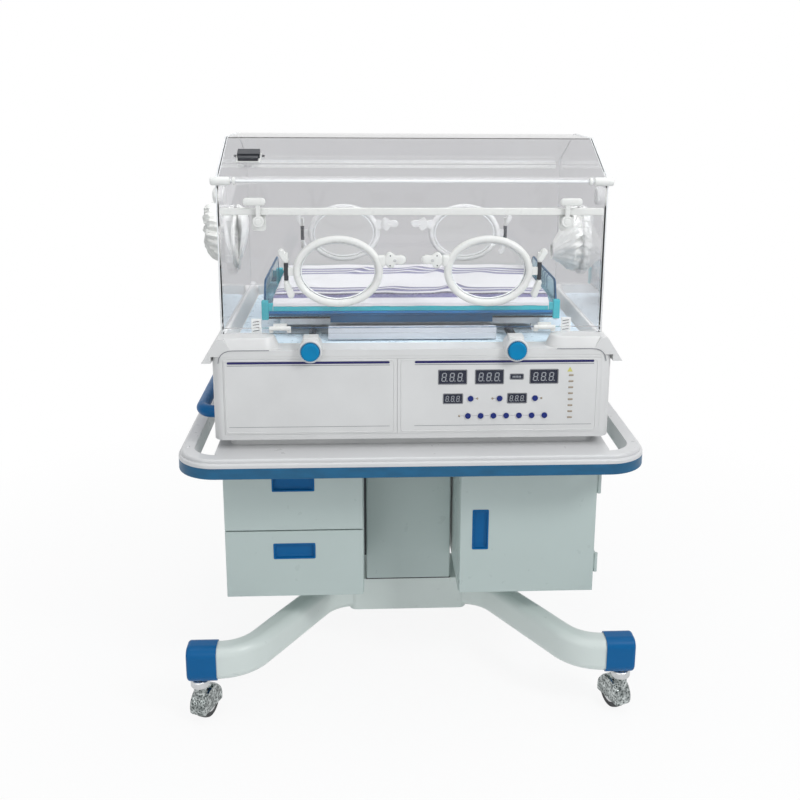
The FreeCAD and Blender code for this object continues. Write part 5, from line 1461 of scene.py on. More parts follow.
@dataclass
class Hood:
    """Clear hood with its doors, ports, latches and sleeves."""

    shop: Workshop
    half_x: float = 0.432
    half_y: float = 0.280
    low: float = 0.9303
    bend: float = 1.278
    top: float = 1.358
    roof: float = 0.100
    skin: float = 0.00005
    port_x: float = 0.168
    port_z: float = 1.075
    port_half: tuple[float, float] = (0.092, 0.0725)
    rim_radius: float = 0.008
    rim_y: float = 0.2895
    hinge_x: float = 0.283
    iris_z: float = 1.100
    sensor_at: tuple[float, float] = (-0.368, -0.196)
    port_latch_at: tuple[float, float] = (0.042, 1.100)
    door_latch_at: tuple[float, float] = (0.341, 1.186)
    door_sheet_top: float = 1.2000
    sleeve_width: float = 0.52

    def build(self) -> None:
        """Dress the hood, its doors and everything on them."""
        self.shell()
        self.edges()
        self.slope_module()
        self.bend_rod()
        self.tube_ports()
        self.door()
        for end, sy in ENDS.items():
            for side, sx in SIDES.items():
                self.port(end, sy, side, sx)
                self.port_latch(end, sy, side, sx)
        for side, sx in SIDES.items():
            self.door_latch(side, sx)
            self.iris(side, sx)
            self.sleeve(side, sx)
            self.cuff(side, sx)
            self.corner_gasket(side, sx)

    def shell(self) -> None:
        """Clear walls, and the white hinge parts cemented to them."""
        shop = self.shop
        rear = Vector((0, self.half_y + self.skin, 0))
        front = -rear
        walls = shop.carve("hood_shell", (rear, Vector((0, 1, 0))), (front, Vector((0, -1, 0))))
        shop.fit(walls, "Hood_walls", shop.clear, "hood", "clear_acrylic", 0.0, ("hood_shell",))
        parts = shop.carve("hood_shell", (rear, Vector((0, -1, 0))))
        parts.add(shop.carve("hood_shell", (front, Vector((0, 1, 0)))))
        shop.fit(parts, "Hood_hinge_parts", shop.milky, "hood", "clear_acrylic", 0.0, ("hood_shell",))

    def profile(self, x: float) -> list[Vector]:
        """End outline of the hood, its two upper bends rounded."""
        corners = [(-self.half_y, self.low), (-self.half_y, self.bend), (-self.roof, self.top),
                   (self.roof, self.top), (self.half_y, self.bend), (self.half_y, self.low)]
        points = []
        for i, (y, z) in enumerate(corners):
            here = Vector((x, y, z))
            if i in (0, 5):
                points.append(here)
                continue
            before = Vector((x, *corners[i - 1]))
            after = Vector((x, *corners[i + 1]))
            back, on = (before - here).normalized(), (after - here).normalized()
            reach = 0.020 * math.tan((math.pi - back.angle(on)) / 2)
            start, end = here + back * reach, here + on * reach
            for k in range(7):
                t = k / 6
                points.append(start.lerp(here, t).lerp(here.lerp(end, t), t))
        return points

    def edges(self) -> None:
        """Polished beads where the end walls meet the wrapped sheet, and along its lower edge: partly the
        glued joint, partly a painted highlight of the sheet's bright edges.
        """
        shop = self.shop
        # Painted highlight: these white beads also stand for the bright edges of the clear sheet.
        for side, sx in SIDES.items():
            shop.bar(self.profile(sx * (self.half_x - 0.0006)), f"Hood_end_bead_{side}", shop.polished,
                     "hood", "clear_acrylic", 0.0016, 10, True)
        for side, sx in SIDES.items():
            inside = [p + Vector((-sx * 0.0052, 0, 0)) for p in self.profile(sx * self.half_x)][1:-1]
            shop.bar(inside, f"Hood_joint_bead_{side}", shop.polished, "hood", "clear_acrylic", 0.0009, 8)

    def slope_module(self) -> None:
        """Small two-window sensor module on the front slope."""
        shop = self.shop
        along = Vector((0, self.half_y - self.roof, self.top - self.bend)).normalized()
        out = Vector((0, -along.z, along.y))
        x, y = self.sensor_at
        climb = (self.half_y + y) * (self.top - self.bend) / (self.half_y - self.roof)
        centre = Vector((x, y, self.bend + climb))

        def block(name: str, shift: float, half_x: float, half_s: float, base: float, height: float,
                  finish: Material, slot: str, bevel: float) -> None:
            """Block laid on the slope."""
            outline = [centre + along * (shift + s * half_s) + Vector((t * half_x, 0, 0)) + out * base
                       for t, s in ((-1, -1), (1, -1), (1, 1), (-1, 1))]
            shop.fit(Shape().slab(outline, out * height), name, finish, "hood", slot, bevel)

        block("Sensor_base", 0.0, 0.027, 0.0205, 0.0002, 0.004, shop.milky, "white_plastic", 0.001)
        block("Sensor_low", -0.0135, 0.0225, 0.0050, 0.0040, 0.009, shop.dark, "dark_plastic", 0.0014)
        block("Sensor_high", 0.0062, 0.0250, 0.0120, 0.0040, 0.012, shop.dark, "dark_plastic", 0.0014)
        for i, sx in enumerate((-1, 1)):
            spot = centre + along * 0.012 + Vector((sx * 0.0315, 0, 0))
            rim = ((0.0030 * math.cos(t), 0.0030 * math.sin(t)) for t in turns(20))
            outline = [spot + along * s + Vector((u, 0, 0)) + out * 0.0001 for u, s in rim]
            shop.fit(Shape().slab(outline, out * 0.0022), f"Sensor_screw_{i + 1}", shop.dark, "hood",
                     "dark_plastic")

    def bend_rod(self) -> None:
        """Clear rod with white caps along the front bend, and two white strips of painted highlight at the
        rear bend.
        """
        shop = self.shop
        y, z = -(self.half_y + 0.0035), self.bend - 0.004
        rod = Shape().turned([(-0.425, 0.003), (0.425, 0.003)], Vector((0, y, z)), Axis.X, 20)
        shop.fit(rod, "Bend_rod", shop.polished, "hood", "clear_acrylic")
        for side, sx in SIDES.items():
            profile = [(-0.0215, 0.0065), (-0.020, 0.0088), (-0.017, 0.0095), (0.017, 0.0095),
                       (0.020, 0.0088), (0.0215, 0.0065)]
            cap = Shape().turned(profile, Vector((sx * 0.4215, y, z)), Axis.X, 32)
            cap.turned([(-0.003, 0.0075), (-0.002, 0.0085), (0.002, 0.0085), (0.003, 0.0075)],
                       Vector((sx * 0.392, y, z)), Axis.X, 24)
            shop.fit(cap, f"Bend_cap_{side}", shop.milky, "hood", "white_plastic")
        # Painted highlight: white strips where the rear bend shows bright lines.
        strip = Shape().block((-0.418, self.half_y - 0.0005, 1.2530), (0.418, self.half_y + 0.0035, 1.2615))
        strip.block((-0.418, self.half_y - 0.0005, 1.2655), (0.418, self.half_y + 0.0035, 1.2765))
        shop.fit(strip, "Rear_bend_highlights", shop.milky, "hood", "white_plastic", 0.0008)

    def tube_ports(self) -> None:
        """Round tube grommets high on both end walls."""
        for side, sx in SIDES.items():
            spot = Vector((sx * self.half_x, -0.185, 1.232))
            profile = [(-0.0035, 0.013), (-0.0035, 0.017), (0.0, 0.0215), (0.004, 0.0225), (0.012, 0.0205),
                       (0.018, 0.017), (0.0205, 0.012), (0.0205, 0.006), (0.016, 0.004)]
            grommet = Shape().turned([(sx * a, r) for a, r in profile], spot, Axis.X, 40)
            self.shop.fit(grommet, f"Tube_port_{side}", self.shop.milky, "hood", "white_plastic")

    def door(self) -> None:
        """Clear drop-down door with its white bar and hinge parts."""
        shop = self.shop
        face = Vector((0, -(self.half_y + self.skin), 0))
        top = Vector((0, 0, self.door_sheet_top))
        out, up = Vector((0, 1, 0)), Vector((0, 0, 1))
        sheet = shop.carve("front_door", (face, -out), (top, up))
        shop.fit(sheet, "Door_sheet", shop.clear, "front_door", "clear_acrylic", 0.0, ("front_door",))
        hinges = shop.carve("front_door", (face, out), (top, up))
        shop.fit(hinges, "Door_hinge_parts", shop.milky, "front_door", "clear_acrylic", 0.0, ("front_door",))
        low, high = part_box("front_door")
        bar = Shape().block((low.x, -0.286, self.door_sheet_top), (high.x, -0.275, high.z))
        shop.fit(bar, "Door_bar", shop.milky, "front_door", "white_plastic", 0.0016, ("front_door",))
        latch_x, latch_z = self.door_latch_at
        for side, sx in SIDES.items():
            plate = [rounded_rectangle(Vector((sx * latch_x, y, latch_z)), 0.016, 0.0215, 0.008, 6)
                     for y in (-0.2801, -0.28025)]
            shop.fit(Shape().loft(plate), f"Latch_pad_{side}", shop.milky, "front_door", "white_plastic")

    def port(self, end: str, sy: int, side: str, sx: int) -> None:
        """Hand port: swept rim, clear oval, seal ring, hinge blocks and catch."""
        shop = self.shop
        body = f"port_door_{end}_{side}"
        carrier = "front_door" if sy < 0 else "hood"
        tag = f"{end}_{side}"
        a, b = self.port_half
        centre = Vector((sx * self.port_x, sy * self.rim_y, self.port_z))
        shop.bar(oval_loop(centre, a, b, 112), f"Port_rim_{tag}", shop.milky, body, "white_plastic",
                 self.rim_radius, 24, True, (body,))
        rings = [oval_loop(centre + Vector((0, sy * y, 0)), a + w, b + w, 112)
                 for y, w in ((-0.002, -0.004), (0.0, -0.003), (0.002, -0.004))]
        shop.fit(Shape().loft(rings), f"Port_glass_{tag}", shop.port_clear, body, "clear_acrylic", 0.0,
                 (body,))
        seal_at = centre + Vector((0, -sy * 0.0080, 0))
        shop.bar(oval_loop(seal_at, a - 0.0095, b - 0.0095, 112), f"Port_seal_{tag}", shop.polished, carrier,
                 "clear_acrylic", 0.0014, 12, True)
        axis = Vector((sx * self.hinge_x, sy * self.rim_y, self.port_z))
        knuckle = Shape().turned([(-0.0198, 0.004), (-0.0192, 0.005), (0.0192, 0.005), (0.0198, 0.004)], axis,
                                 Axis.Z, 28)
        shop.fit(knuckle, f"Port_knuckle_{tag}", shop.dark, body, "white_plastic", 0.0, (body,))
        near, far = sorted((sx * (self.port_x + a), sx * self.hinge_x))
        arm = Shape().block((near, axis.y - 0.0025, self.port_z - 0.009),
                            (far, axis.y + 0.0025, self.port_z + 0.009))
        shop.fit(arm, f"Port_arm_{tag}", shop.milky, body, "white_plastic", 0.001, (body,))
        for level, sz, lean, reach in (("low", -1, -0.010, 0.0400), ("high", 1, 0.010, 0.0300)):
            outline = self.hinge_ear(axis, sx, sz, lean, reach)
            middle = sum(outline, Vector()) / len(outline)
            rings = []
            for shrink, out in ((0.94, 0.0001), (1.0, 0.0020), (1.0, 0.0130), (0.92, 0.0160), (0.72, 0.0178)):
                rings.append([Vector((middle.x + (p.x - middle.x) * shrink, sy * (self.half_y + out),
                                      middle.z + (p.z - middle.z) * (1 - (1 - shrink) * 0.5)))
                              for p in outline])
            shop.fit(Shape().loft(rings), f"Port_hinge_{level}_{tag}", shop.milky, carrier, "white_plastic")
        catch_x = sx * (self.port_x - a - 0.004)
        rings = [rounded_rectangle(Vector((catch_x, sy * (self.rim_y + y), 1.0985)), 0.0085 + g, 0.0125 + g,
                                   0.0035, 5)
                 for y, g in ((-0.0078, -0.001), (-0.0060, 0.0), (0.0035, 0.0), (0.0060, -0.0018),
                              (0.0068, -0.004))]
        shop.fit(Shape().loft(rings), f"Port_catch_{tag}", shop.milky, body, "white_plastic", 0.0, (body,))

    def hinge_ear(self, axis: Vector, sx: int, sz: int, lean: float, reach: float) -> list[Vector]:
        """Outline of a hinge ear: a rounded finger that starts beside the knuckle and leans away from it.

        Args:
            axis: middle of the hinge pin.
            sx: side of the hood.
            sz: up or down from the knuckle.
            lean: how far its tip stands outward.
            reach: its length.

        Returns:
            Points round the finger.
        """
        start = Vector((axis.x, 0, axis.z + sz * 0.0262))
        tip = start + Vector((sx * lean, 0, sz * (reach - 0.0130)))
        run = (tip - start).normalized()
        side = Vector((run.z, 0, -run.x))
        points = []
        for middle, radius, turn in ((start, 0.0058, math.pi), (tip, 0.0072, 0.0)):
            for i in range(13):
                t = turn - math.pi / 2 + math.pi * i / 12
                points.append(middle + (run * math.cos(t) + side * math.sin(t)) * radius)
        return points

    def latch_outline(self) -> list[tuple[float, float]]:
        """Cloud outline of a port latch: a tall round lobe towards the port and a low one away from it."""
        lobes = ((0.0102, 0.0, 0.0135, 0.0160), (0.0120, 0.0080, 0.0075, 0.0100),
                 (0.0080, -0.0085, 0.0085, 0.0100), (-0.0125, 0.0008, 0.0125, 0.0102),
                 (-0.0010, 0.0010, 0.0120, 0.0092))
        outline = []
        count = 96
        for t in turns(count):
            c, s = math.cos(t), math.sin(t)
            reach = 0.0
            for x, z, a, b in lobes:
                qa = (c / a) ** 2 + (s / b) ** 2
                qb = -2 * (c * x / a ** 2 + s * z / b ** 2)
                qc = (x / a) ** 2 + (z / b) ** 2 - 1
                root = qb * qb - 4 * qa * qc
                if root > 0:
                    reach = max(reach, (-qb + math.sqrt(root)) / (2 * qa))
            outline.append((c * reach, s * reach))
        for _ in range(2):
            outline = [tuple((outline[i - 1][k] + 2 * outline[i][k] + outline[(i + 1) % count][k]) / 4
                             for k in (0, 1))
                       for i in range(count)]
        return outline

    def port_latch(self, end: str, sy: int, side: str, sx: int) -> None:
        """Cloud-shaped turn latch with its screw and two small pin heads."""
        shop = self.shop
        node = f"port_latch_{end}_{side}"
        pin = Vector((sx * self.port_latch_at[0], 0, self.port_latch_at[1]))
        outline = self.latch_outline()
        rings = []
        for out, scale in ((0.0004, 0.93), (0.0012, 0.98), (0.0025, 1.0), (0.0105, 1.0), (0.0128, 0.96),
                           (0.0142, 0.88), (0.0148, 0.74)):
            y = sy * (self.half_y + out)
            rings.append([Vector((pin.x + sx * px * scale, y, pin.z + pz * scale)) for px, pz in outline])
        shop.fit(Shape().loft(rings), f"Latch_knob_{end}_{side}", shop.milky, node, "white_plastic", 0.0,
                 (node,))
        screw = shop.screw(Vector((pin.x, sy * (self.half_y + 0.0150), pin.z)), Axis.Y, 0.0036, sy)
        finish_piece(screw, shop.steel, node)
        heads = Shape()
        for px, pz in ((0.0098, 0.0105), (0.0105, -0.0115)):
            spot = Vector((pin.x + sx * px, sy * (self.half_y + 0.0143), pin.z + pz))
            heads.turned([(-sy * 0.0008, 0.0015), (sy * 0.0004, 0.0016), (sy * 0.0009, 0.0010)], spot, Axis.Y,
                         14)
        shop.fit(heads, f"Latch_pin_heads_{end}_{side}", shop.dark, node, "dark_plastic")

    def door_latch(self, side: str, sx: int) -> None:
        """Turn latch of the door: disc, stem and rounded grip."""
        shop = self.shop
        node = f"door_latch_{side}"
        x, z = sx * self.door_latch_at[0], self.door_latch_at[1]
        disc = Shape().turned([(-0.2803, 0.0125), (-0.2815, 0.0132), (-0.2935, 0.0132), (-0.2955, 0.0122),
                               (-0.2960, 0.0105), (-0.2956, 0.0095), (-0.2956, 0.0070), (-0.2968, 0.0062),
                               (-0.2972, 0.0030)],
                              Vector((x, 0, z)), Axis.Y, 48)
        shop.fit(disc, f"Door_latch_disc_{side}", shop.milky, node, "white_plastic", 0.0, (node,))
        stem = Shape().block((x - 0.0052, -0.2955, z), (x + 0.0052, -0.2870, z + 0.044))
        shop.fit(stem, f"Door_latch_stem_{side}", shop.milky, node, "white_plastic", 0.0018, (node,))
        rings = [rounded_rectangle(Vector((x + sx * 0.008, y, z + 0.044)), 0.0245 + g, 0.0085 + g, 0.0078 + g,
                                   8)
                 for y, g in ((-0.2868, -0.0026), (-0.2876, -0.0008), (-0.2895, 0.0), (-0.2940, 0.0),
                              (-0.2962, -0.0010), (-0.2972, -0.0030))]
        shop.fit(Shape().loft(rings), f"Door_latch_grip_{side}", shop.milky, node, "white_plastic", 0.0,
                 (node,))

    def iris(self, side: str, sx: int) -> None:
        """Ribbed iris ring: rounded band with finger ribs round it."""
        shop = self.shop
        node = f"iris_ring_{side}"
        face = sx * self.half_x
        profile = [(-0.0055, 0.0668), (-0.0055, 0.0712), (0.0004, 0.0713), (0.0004, 0.0835), (0.002, 0.0848),
                   (0.006, 0.0850), (0.0075, 0.0835), (0.0105, 0.0835), (0.012, 0.0850), (0.0165, 0.0842),
                   (0.0183, 0.0815), (0.0188, 0.0760), (0.0183, 0.0700), (0.0165, 0.0672)]
        rings = []
        for along, radius in profile:
            rings.append([Vector((face + sx * along, radius * math.cos(t),
                                  self.iris_z + radius * math.sin(t)))
                          for t in turns(96)])
        shop.fit(Shape().loft(rings, closed=True), f"Iris_band_{side}", shop.milky, node, "white_plastic",
                 0.0, (node,))
        near, far = sorted((face + sx * 0.0010, face + sx * 0.0165))
        rib = Shape().block((near, -0.0021, self.iris_z + 0.0830),
                            (far, 0.0021, self.iris_z + 0.0868)).object("Rib")
        ribs = shop.ring.run(rib, f"Iris_ribs_{side}", Count=30, Centre=(face, 0.0, self.iris_z),
                             Axis=(1.0, 0.0, 0.0), Finish=shop.milky)
        finish_piece(ribs, shop.milky, node, 0.0008, (node,))

    def cuff(self, side: str, sx: int) -> None:
        """Soft white cuff inside the iris: a flat pouch that hangs down the end wall and narrows to a tip."""
        shop = self.shop
        top, tip = self.iris_z + 0.088, self.iris_z - 0.074
        depth = 0.028 if sx < 0 else 0.036
        rings = []
        steps, count = 22, 40
        for k in range(steps + 1):
            share = k / steps
            z = top + (tip - top) * share
            swell = math.sin(math.pi * min(1.0, share / 0.9) ** 0.62) ** 0.75 if share < 0.9 else 0.0
            thick = max(0.0015, depth / 2 * max(swell, 0.12 * (1 - share)))
            broad = max(0.002, 0.038 * math.sqrt(max(0.0, 1 - share)) * min(1.0, 0.35 + share * 4))
            middle = sx * (self.half_x - 0.0085 - thick)
            rings.append([Vector((middle + thick * math.cos(t), broad * math.sin(t)
                                  + 0.0012 * math.sin(7 * t + 9 * share), z))
                          for t in turns(count)])
        shop.fit(Shape().loft(rings), f"Iris_cuff_{side}", shop.milky, "hood", "sleeve_film")

    def corner_gasket(self, side: str, sx: int) -> None:
        """Dark seal line down the lower half of a front corner."""
        y = -self.half_y - 0.0004
        x0, x1 = sorted((sx * (self.half_x - 0.0014), sx * (self.half_x + 0.0008)))
        line = Shape().block((x0, y - 0.0006, self.low + 0.001), (x1, y + 0.0014, self.low + 0.138))
        self.shop.fit(line, f"Corner_gasket_{side}", self.shop.dark, "hood", "dark_plastic", 0.0004)

    def sleeve(self, side: str, sx: int) -> None:
        """Gathered film sleeve: a crinkled bulge out through the ring, puckered shut in the middle."""
        shop = self.shop
        count, folds = 240, 17
        outward = [(-0.0100, 0.0655), (0.0000, 0.0640), (0.0120, 0.0640), (0.0190, 0.0665), (0.0280, 0.0675),
                   (0.0380, 0.0650), (0.0480, 0.0600), (0.0560, 0.0535), (0.0620, 0.0455), (0.0650, 0.0375),
                   (0.0660, 0.0300), (0.0640, 0.0230), (0.0580, 0.0170), (0.0480, 0.0100), (0.0380, 0.0060)]
        inward = [(0.0155, 0.0655), (0.0100, 0.0640), (0.0000, 0.0640), (-0.0100, 0.0650), (-0.0190, 0.0655),
                  (-0.0280, 0.0620), (-0.0370, 0.0540), (-0.0450, 0.0450), (-0.0520, 0.0370),
                  (-0.0580, 0.0300), (-0.0640, 0.0240), (-0.0700, 0.0195)]
        run = outward if sx < 0 else inward
        sag = 0.0 if sx < 0 else 0.030
        rings = []
        for step, (along, radius) in enumerate(run):
            share = step / (len(run) - 1)
            ring = []
            for t in turns(count):
                wobble = noise.noise(Vector((math.cos(t) * 2.2, math.sin(t) * 2.2, share * 3 + sx * 4)))
                crease = Vector((math.cos(t) * 3.6, math.sin(t) * 3.6, share * 4.5 + 2))
                crumple = 1 - 2 * abs(noise.noise(crease))
                fine = 1 - 2 * abs(noise.noise(Vector((math.cos(t) * 9, math.sin(t) * 9, share * 9 + 9))))
                pleat = math.sin(folds * t + 5.5 * wobble + 1.2 * share)
                loose = math.sin(math.pi * min(1.0, share * 1.1)) ** 0.7
                depth = 0.0005 + 0.0022 * loose
                r = (radius + depth * pleat * 0.5 * min(1.0, radius / 0.03) + 0.0070 * wobble * loose
                     + (0.0075 * crumple + 0.0036 * fine) * loose * min(1.0, radius / 0.02))
                sway = depth * 0.5 * math.sin(folds * t * 0.5 + 3 * wobble)
                x = along + sway + (0.0050 * crumple + 0.0020 * fine) * loose
                ring.append(Vector((sx * (self.half_x + x), r * math.cos(t + share * 0.35),
                                    self.iris_z + r * math.sin(t + share * 0.35) - sag * share * share
                                    + (0.050 * share ** 0.8 if sx < 0 else 0.0))))
            rings.append(ring)
        piece = Shape().loft(rings, caps=False).object(f"Sleeve_{side}")
        finish_piece(piece, shop.film, "hood", 0.0, ("iris_sleeves",))
        thick = piece.modifiers.new("Film", "SOLIDIFY")
        thick.thickness = 0.0004


@dataclass
class Bed:
    """Mattress tray, mattress and sheet, with the lift frame and cassette tray below."""

    shop: Workshop
    tray_half: tuple[float, float] = (0.345, 0.205)
    tray_low: float = 0.9475
    tray_rim: float = 0.985
    foam_half: tuple[float, float] = (0.320, 0.186)
    foam_low: float = 0.9519
    foam_high: float = 0.9988
    end_wall_top: float = 1.030
    knob_at: tuple[float, float] = (0.230, 0.905)
    scale_x: float = 0.358

    def build(self) -> None:
        """Dress the bed."""
        shop, model = self.shop, self.shop.model
        model.dress(shop.steel, "lift_frame")
        shop.soften("cassette_tray", shop.cassette, 0.0016)
        shop.soften("mattress_tray", shop.tray, 0.0012)
        self.tray_trim()
        self.knobs()
        self.scales()
        foam = self.mattress()
        self.sheet(foam)

    def tray_trim(self) -> None:
        """Teal, blue and dark bands of the tray's long sides, its corner clips and end edges, and a dark
        plate of painted shade under its front side.
        """
        shop = self.shop
        w, d = self.tray_half
        for end, sy in ENDS.items():
            lip = Shape().block((-w + 0.004, sy * d - 0.0034, 0.9660), (w - 0.004, sy * d + 0.0034, 0.9848))
            shop.fit(lip, f"Tray_lip_{end}", shop.tray_lip, "bed", "tray_blue", 0.0020)
            low = Shape().block((-w + 0.004, sy * d - 0.0032, 0.9600), (w - 0.004, sy * d + 0.0032, 0.9658))
            shop.fit(low, f"Tray_lower_lip_{end}", shop.tray_low, "bed", "tray_blue", 0.0010)
            edge = Shape().block((-w + 0.004, sy * d - 0.0040, 0.9550), (w - 0.004, sy * d + 0.0040, 0.9598))
            shop.fit(edge, f"Tray_edging_{end}", shop.tray_dark, "bed", "tray_blue", 0.0012)
            for side, sx in SIDES.items():
                x0, x1 = sorted((sx * (w - 0.013), sx * (w + 0.0035)))
                clip = Shape().block((x0, sy * d - 0.0065, self.tray_low - 0.002),
                                     (x1, sy * d + 0.0065, self.tray_rim + 0.007))
                shop.fit(clip, f"Tray_clip_{end}_{side}", shop.tray_lip, "bed", "tray_blue", 0.0028)
        foot, slope, corner, high = d - 0.022, 0.026, 0.016, self.end_wall_top
        for side, sx in SIDES.items():
            x = sx * (w - 0.002)
            corners = [(-foot, self.tray_rim), (-foot + slope * 0.82, high), (foot - slope * 0.82, high),
                       (foot, self.tray_rim)]
            path = [Vector((x, *corners[0]))]
            for i in (1, 2):
                before, here, after = (Vector((x, *corners[k])) for k in (i - 1, i, i + 1))
                start = here + (before - here).normalized() * corner
                end = here + (after - here).normalized() * corner
                path += [start.lerp(here, k / 6).lerp(here.lerp(end, k / 6), k / 6) for k in range(7)]
            path.append(Vector((x, *corners[3])))
            shop.bar(path, f"Tray_end_edge_{side}", shop.tray_dark, "bed", "tray_blue", 0.0027, 12)
        # Painted shade: a dark plate under the front edging, where the tray's underside lies in shade.
        shade_plate = Shape().block((-0.190, -d - 0.0035, 0.9388), (0.190, -d - 0.0015, 0.9548))
        shop.fit(shade_plate, "Tray_front_shade", shop.tray_dark, "bed", "tray_blue", 0.0006)

    def knobs(self) -> None:
        """Tilt knobs: blue dished disc in a white collar, with its block and black screw tube on the deck."""
        shop = self.shop
        for side, sx in SIDES.items():
            node = f"tilt_knob_{side}"
            x, z = sx * self.knob_at[0], self.knob_at[1]
            profile = [(-0.3424, 0.0170), (-0.3428, 0.0192), (-0.3440, 0.0200), (-0.3530, 0.0200),
                       (-0.3552, 0.0188), (-0.3560, 0.0165), (-0.3556, 0.0125), (-0.3545, 0.0080),
                       (-0.3543, 0.0030)]
            shop.fit(Shape().turned(profile, Vector((x, 0, z)), Axis.Y, 64), f"Knob_disc_{side}",
                     shop.knob_blue, node, "blue_plastic", 0.0, (node,))
            grip = Shape().block((x - 0.0011, -0.3528, z + 0.0194),
                                 (x + 0.0011, -0.3440, z + 0.0210)).object("Grip")
            ribs = shop.ring.run(grip, f"Knob_grips_{side}", Count=28, Centre=(x, 0.0, z),
                                 Axis=(0.0, 1.0, 0.0), Finish=shop.knob_blue)
            finish_piece(ribs, shop.knob_blue, node, 0.0004)
            shop.fit(Shape().turned([(-0.33, 0.0048), (-0.15, 0.0048)], Vector((x, 0, z)), Axis.Y, 20),
                     f"Knob_rod_{side}", shop.steel, node, "blue_plastic")
            collar = Shape().turned([(-0.3300, 0.0268), (-0.3420, 0.0268), (-0.3445, 0.0262),
                                     (-0.3460, 0.0248), (-0.3462, 0.0222), (-0.3450, 0.0212),
                                     (-0.3423, 0.0210)],
                                    Vector((x, 0, z)), Axis.Y, 64)
            shop.fit(collar, f"Knob_collar_{side}", shop.white, "root", "white_plastic")
            block = Shape().block((x - 0.0175, -0.3300, 0.9040), (x + 0.0175, -0.2960, 0.9335))
            shop.fit(block, f"Knob_block_{side}", shop.white, "root", "white_plastic", 0.0030)
            tube = Shape().turned([(-0.302, 0.0060), (-0.3015, 0.0075), (-0.2090, 0.0075), (-0.2080, 0.0060)],
                                  Vector((x, 0, 0.9225)), Axis.Y, 28)
            shop.fit(tube, f"Screw_tube_{side}", shop.dark, "root", "dark_plastic")

    def scales(self) -> None:
        """Clear tilt scales with slanted ticks beside the tray's front corners."""
        shop = self.shop
        for side, sx in SIDES.items():
            x = sx * self.scale_x
            plate = Shape().block((x - 0.0115, -0.2400, 0.9050), (x + 0.0115, -0.2375, 0.9560))
            shop.fit(plate, f"Tilt_scale_{side}", shop.milky, "root", "white_plastic", 0.0008)
            tick = Shape().slab([Vector((x - 0.0080, -0.24005, 0.9120)),
                                 Vector((x + 0.0065, -0.24005, 0.9142)),
                                 Vector((x + 0.0065, -0.24005, 0.9160)),
                                 Vector((x - 0.0080, -0.24005, 0.9138))],
                                Vector((0, -0.0003, 0))).object("Tick")
            shop.copies(tick, f"Tilt_ticks_{side}", shop.dark, "root", "dark_plastic", 6, (0.0, 0.0, 0.0070))

    def mattress(self) -> Piece:
        """Foam mattress in its cover: crowned, sides drawn in, its top edge rounded."""
        w, d = self.foam_half
        low, high = self.foam_low, self.foam_high
        rings = []
        levels = ((0.02, -0.010), (0.12, -0.0045), (0.3, -0.0035), (0.5, -0.003), (0.7, -0.0035),
                  (0.86, -0.0052), (0.93, -0.009), (0.96, -0.015))
        for share, grow in levels:
            z = low + (high - low) * share
            loop = rounded_rectangle(Vector((0, 0, 0)), w + grow, d + grow, 0.030, 10)
            rings.append([Vector((p.x, p.z, z)) for p in loop])
        shape = Shape().loft(rings)
        piece = shape.object("Mattress")
        grid = piece.modifiers.new("Even grid", "REMESH")
        grid.mode = "VOXEL"
        grid.voxel_size = 0.006
        smooth = piece.modifiers.new("Even", "SMOOTH")
        smooth.factor = 0.5
        smooth.iterations = 6
        self.bake(piece)
        self.swell(piece)
        for vertex in piece.data.vertices:
            p = vertex.co
            crown = max(0.0, 1 - (p.x / w) ** 4) * max(0.0, 1 - (p.y / d) ** 4)
            lift = max(0.0, (p.z - low) / (high - low))
            lump = noise.noise(Vector((p.x * 9, p.y * 9, 2.0)))
            p.z = min(p.z, high + 0.0012) + (0.0022 * crown + 0.0008 * lump) * lift
            p.z = max(p.z, low)
            p.x, p.y = max(-w, min(w, p.x)), max(-d, min(d, p.y))
        even = piece.modifiers.new("Round", "SUBSURF")
        even.levels = even.render_levels = 1
        self.bake(piece)
        finish_piece(piece, self.shop.cotton_plain, "bed", 0.0, ("mattress",))
        piece.data.shade_smooth()
        return piece

    def bake(self, piece: Piece) -> None:
        """Keep what the piece's modifiers make as its plain mesh."""
        ready = piece.evaluated_get(bpy.context.evaluated_depsgraph_get())
        mesh = bpy.data.meshes.new_from_object(ready)
        piece.modifiers.clear()
        piece.data = mesh

    def swell(self, piece: Piece, pressure: float = 4.0, reach: float = 0.005) -> None:
        """Blow the cover up as cloth, so that it crowns and draws in between its corners.

        Args:
            piece: the gridded mattress.
            pressure: the cloth's inner pressure.
            reach: how far a point may move.
        """
        before = [v.co.copy() for v in piece.data.vertices]
        cloth = piece.modifiers.new("Swell", "CLOTH")
        cloth.settings.use_pressure = True
        cloth.settings.uniform_pressure_force = pressure
        cloth.settings.effector_weights.gravity = 0.0
        cloth.point_cache.frame_start = 1
        cloth.point_cache.frame_end = 20
        for step in range(1, 21):
            bpy.context.scene.frame_set(step)
        self.bake(piece)
        bpy.context.scene.frame_set(1)
        for vertex, old in zip(piece.data.vertices, before):
            move = vertex.co - old
            if move.length > reach:
                vertex.co = old + move.normalized() * reach
        LOG.info("mattress swollen as cloth, %s points", len(before))

    def sheet(self, foam: Piece) -> None:
        """Striped cotton sheet laid over the mattress, its edges tucked down beside it."""
        w, d = self.foam_half
        top = self.foam_high + 0.0046
        over_x, over_y, hem = 0.034, 0.048, 0.0262
        nx, ny = 170, 120
        full_x, full_y = 2 * (w + over_x), 2 * (d + over_y)
        humps = ((0.105, -0.135, 0.010, 0.022), (0.085, 0.055, 0.009, 0.020), (-0.120, 0.085, 0.006, 0.016),
                 (0.175, 0.020, 0.005, 0.030), (-0.045, -0.150, 0.004, 0.030), (0.020, 0.095, 0.005, 0.026),
                 (-0.225, -0.060, 0.004, 0.034))

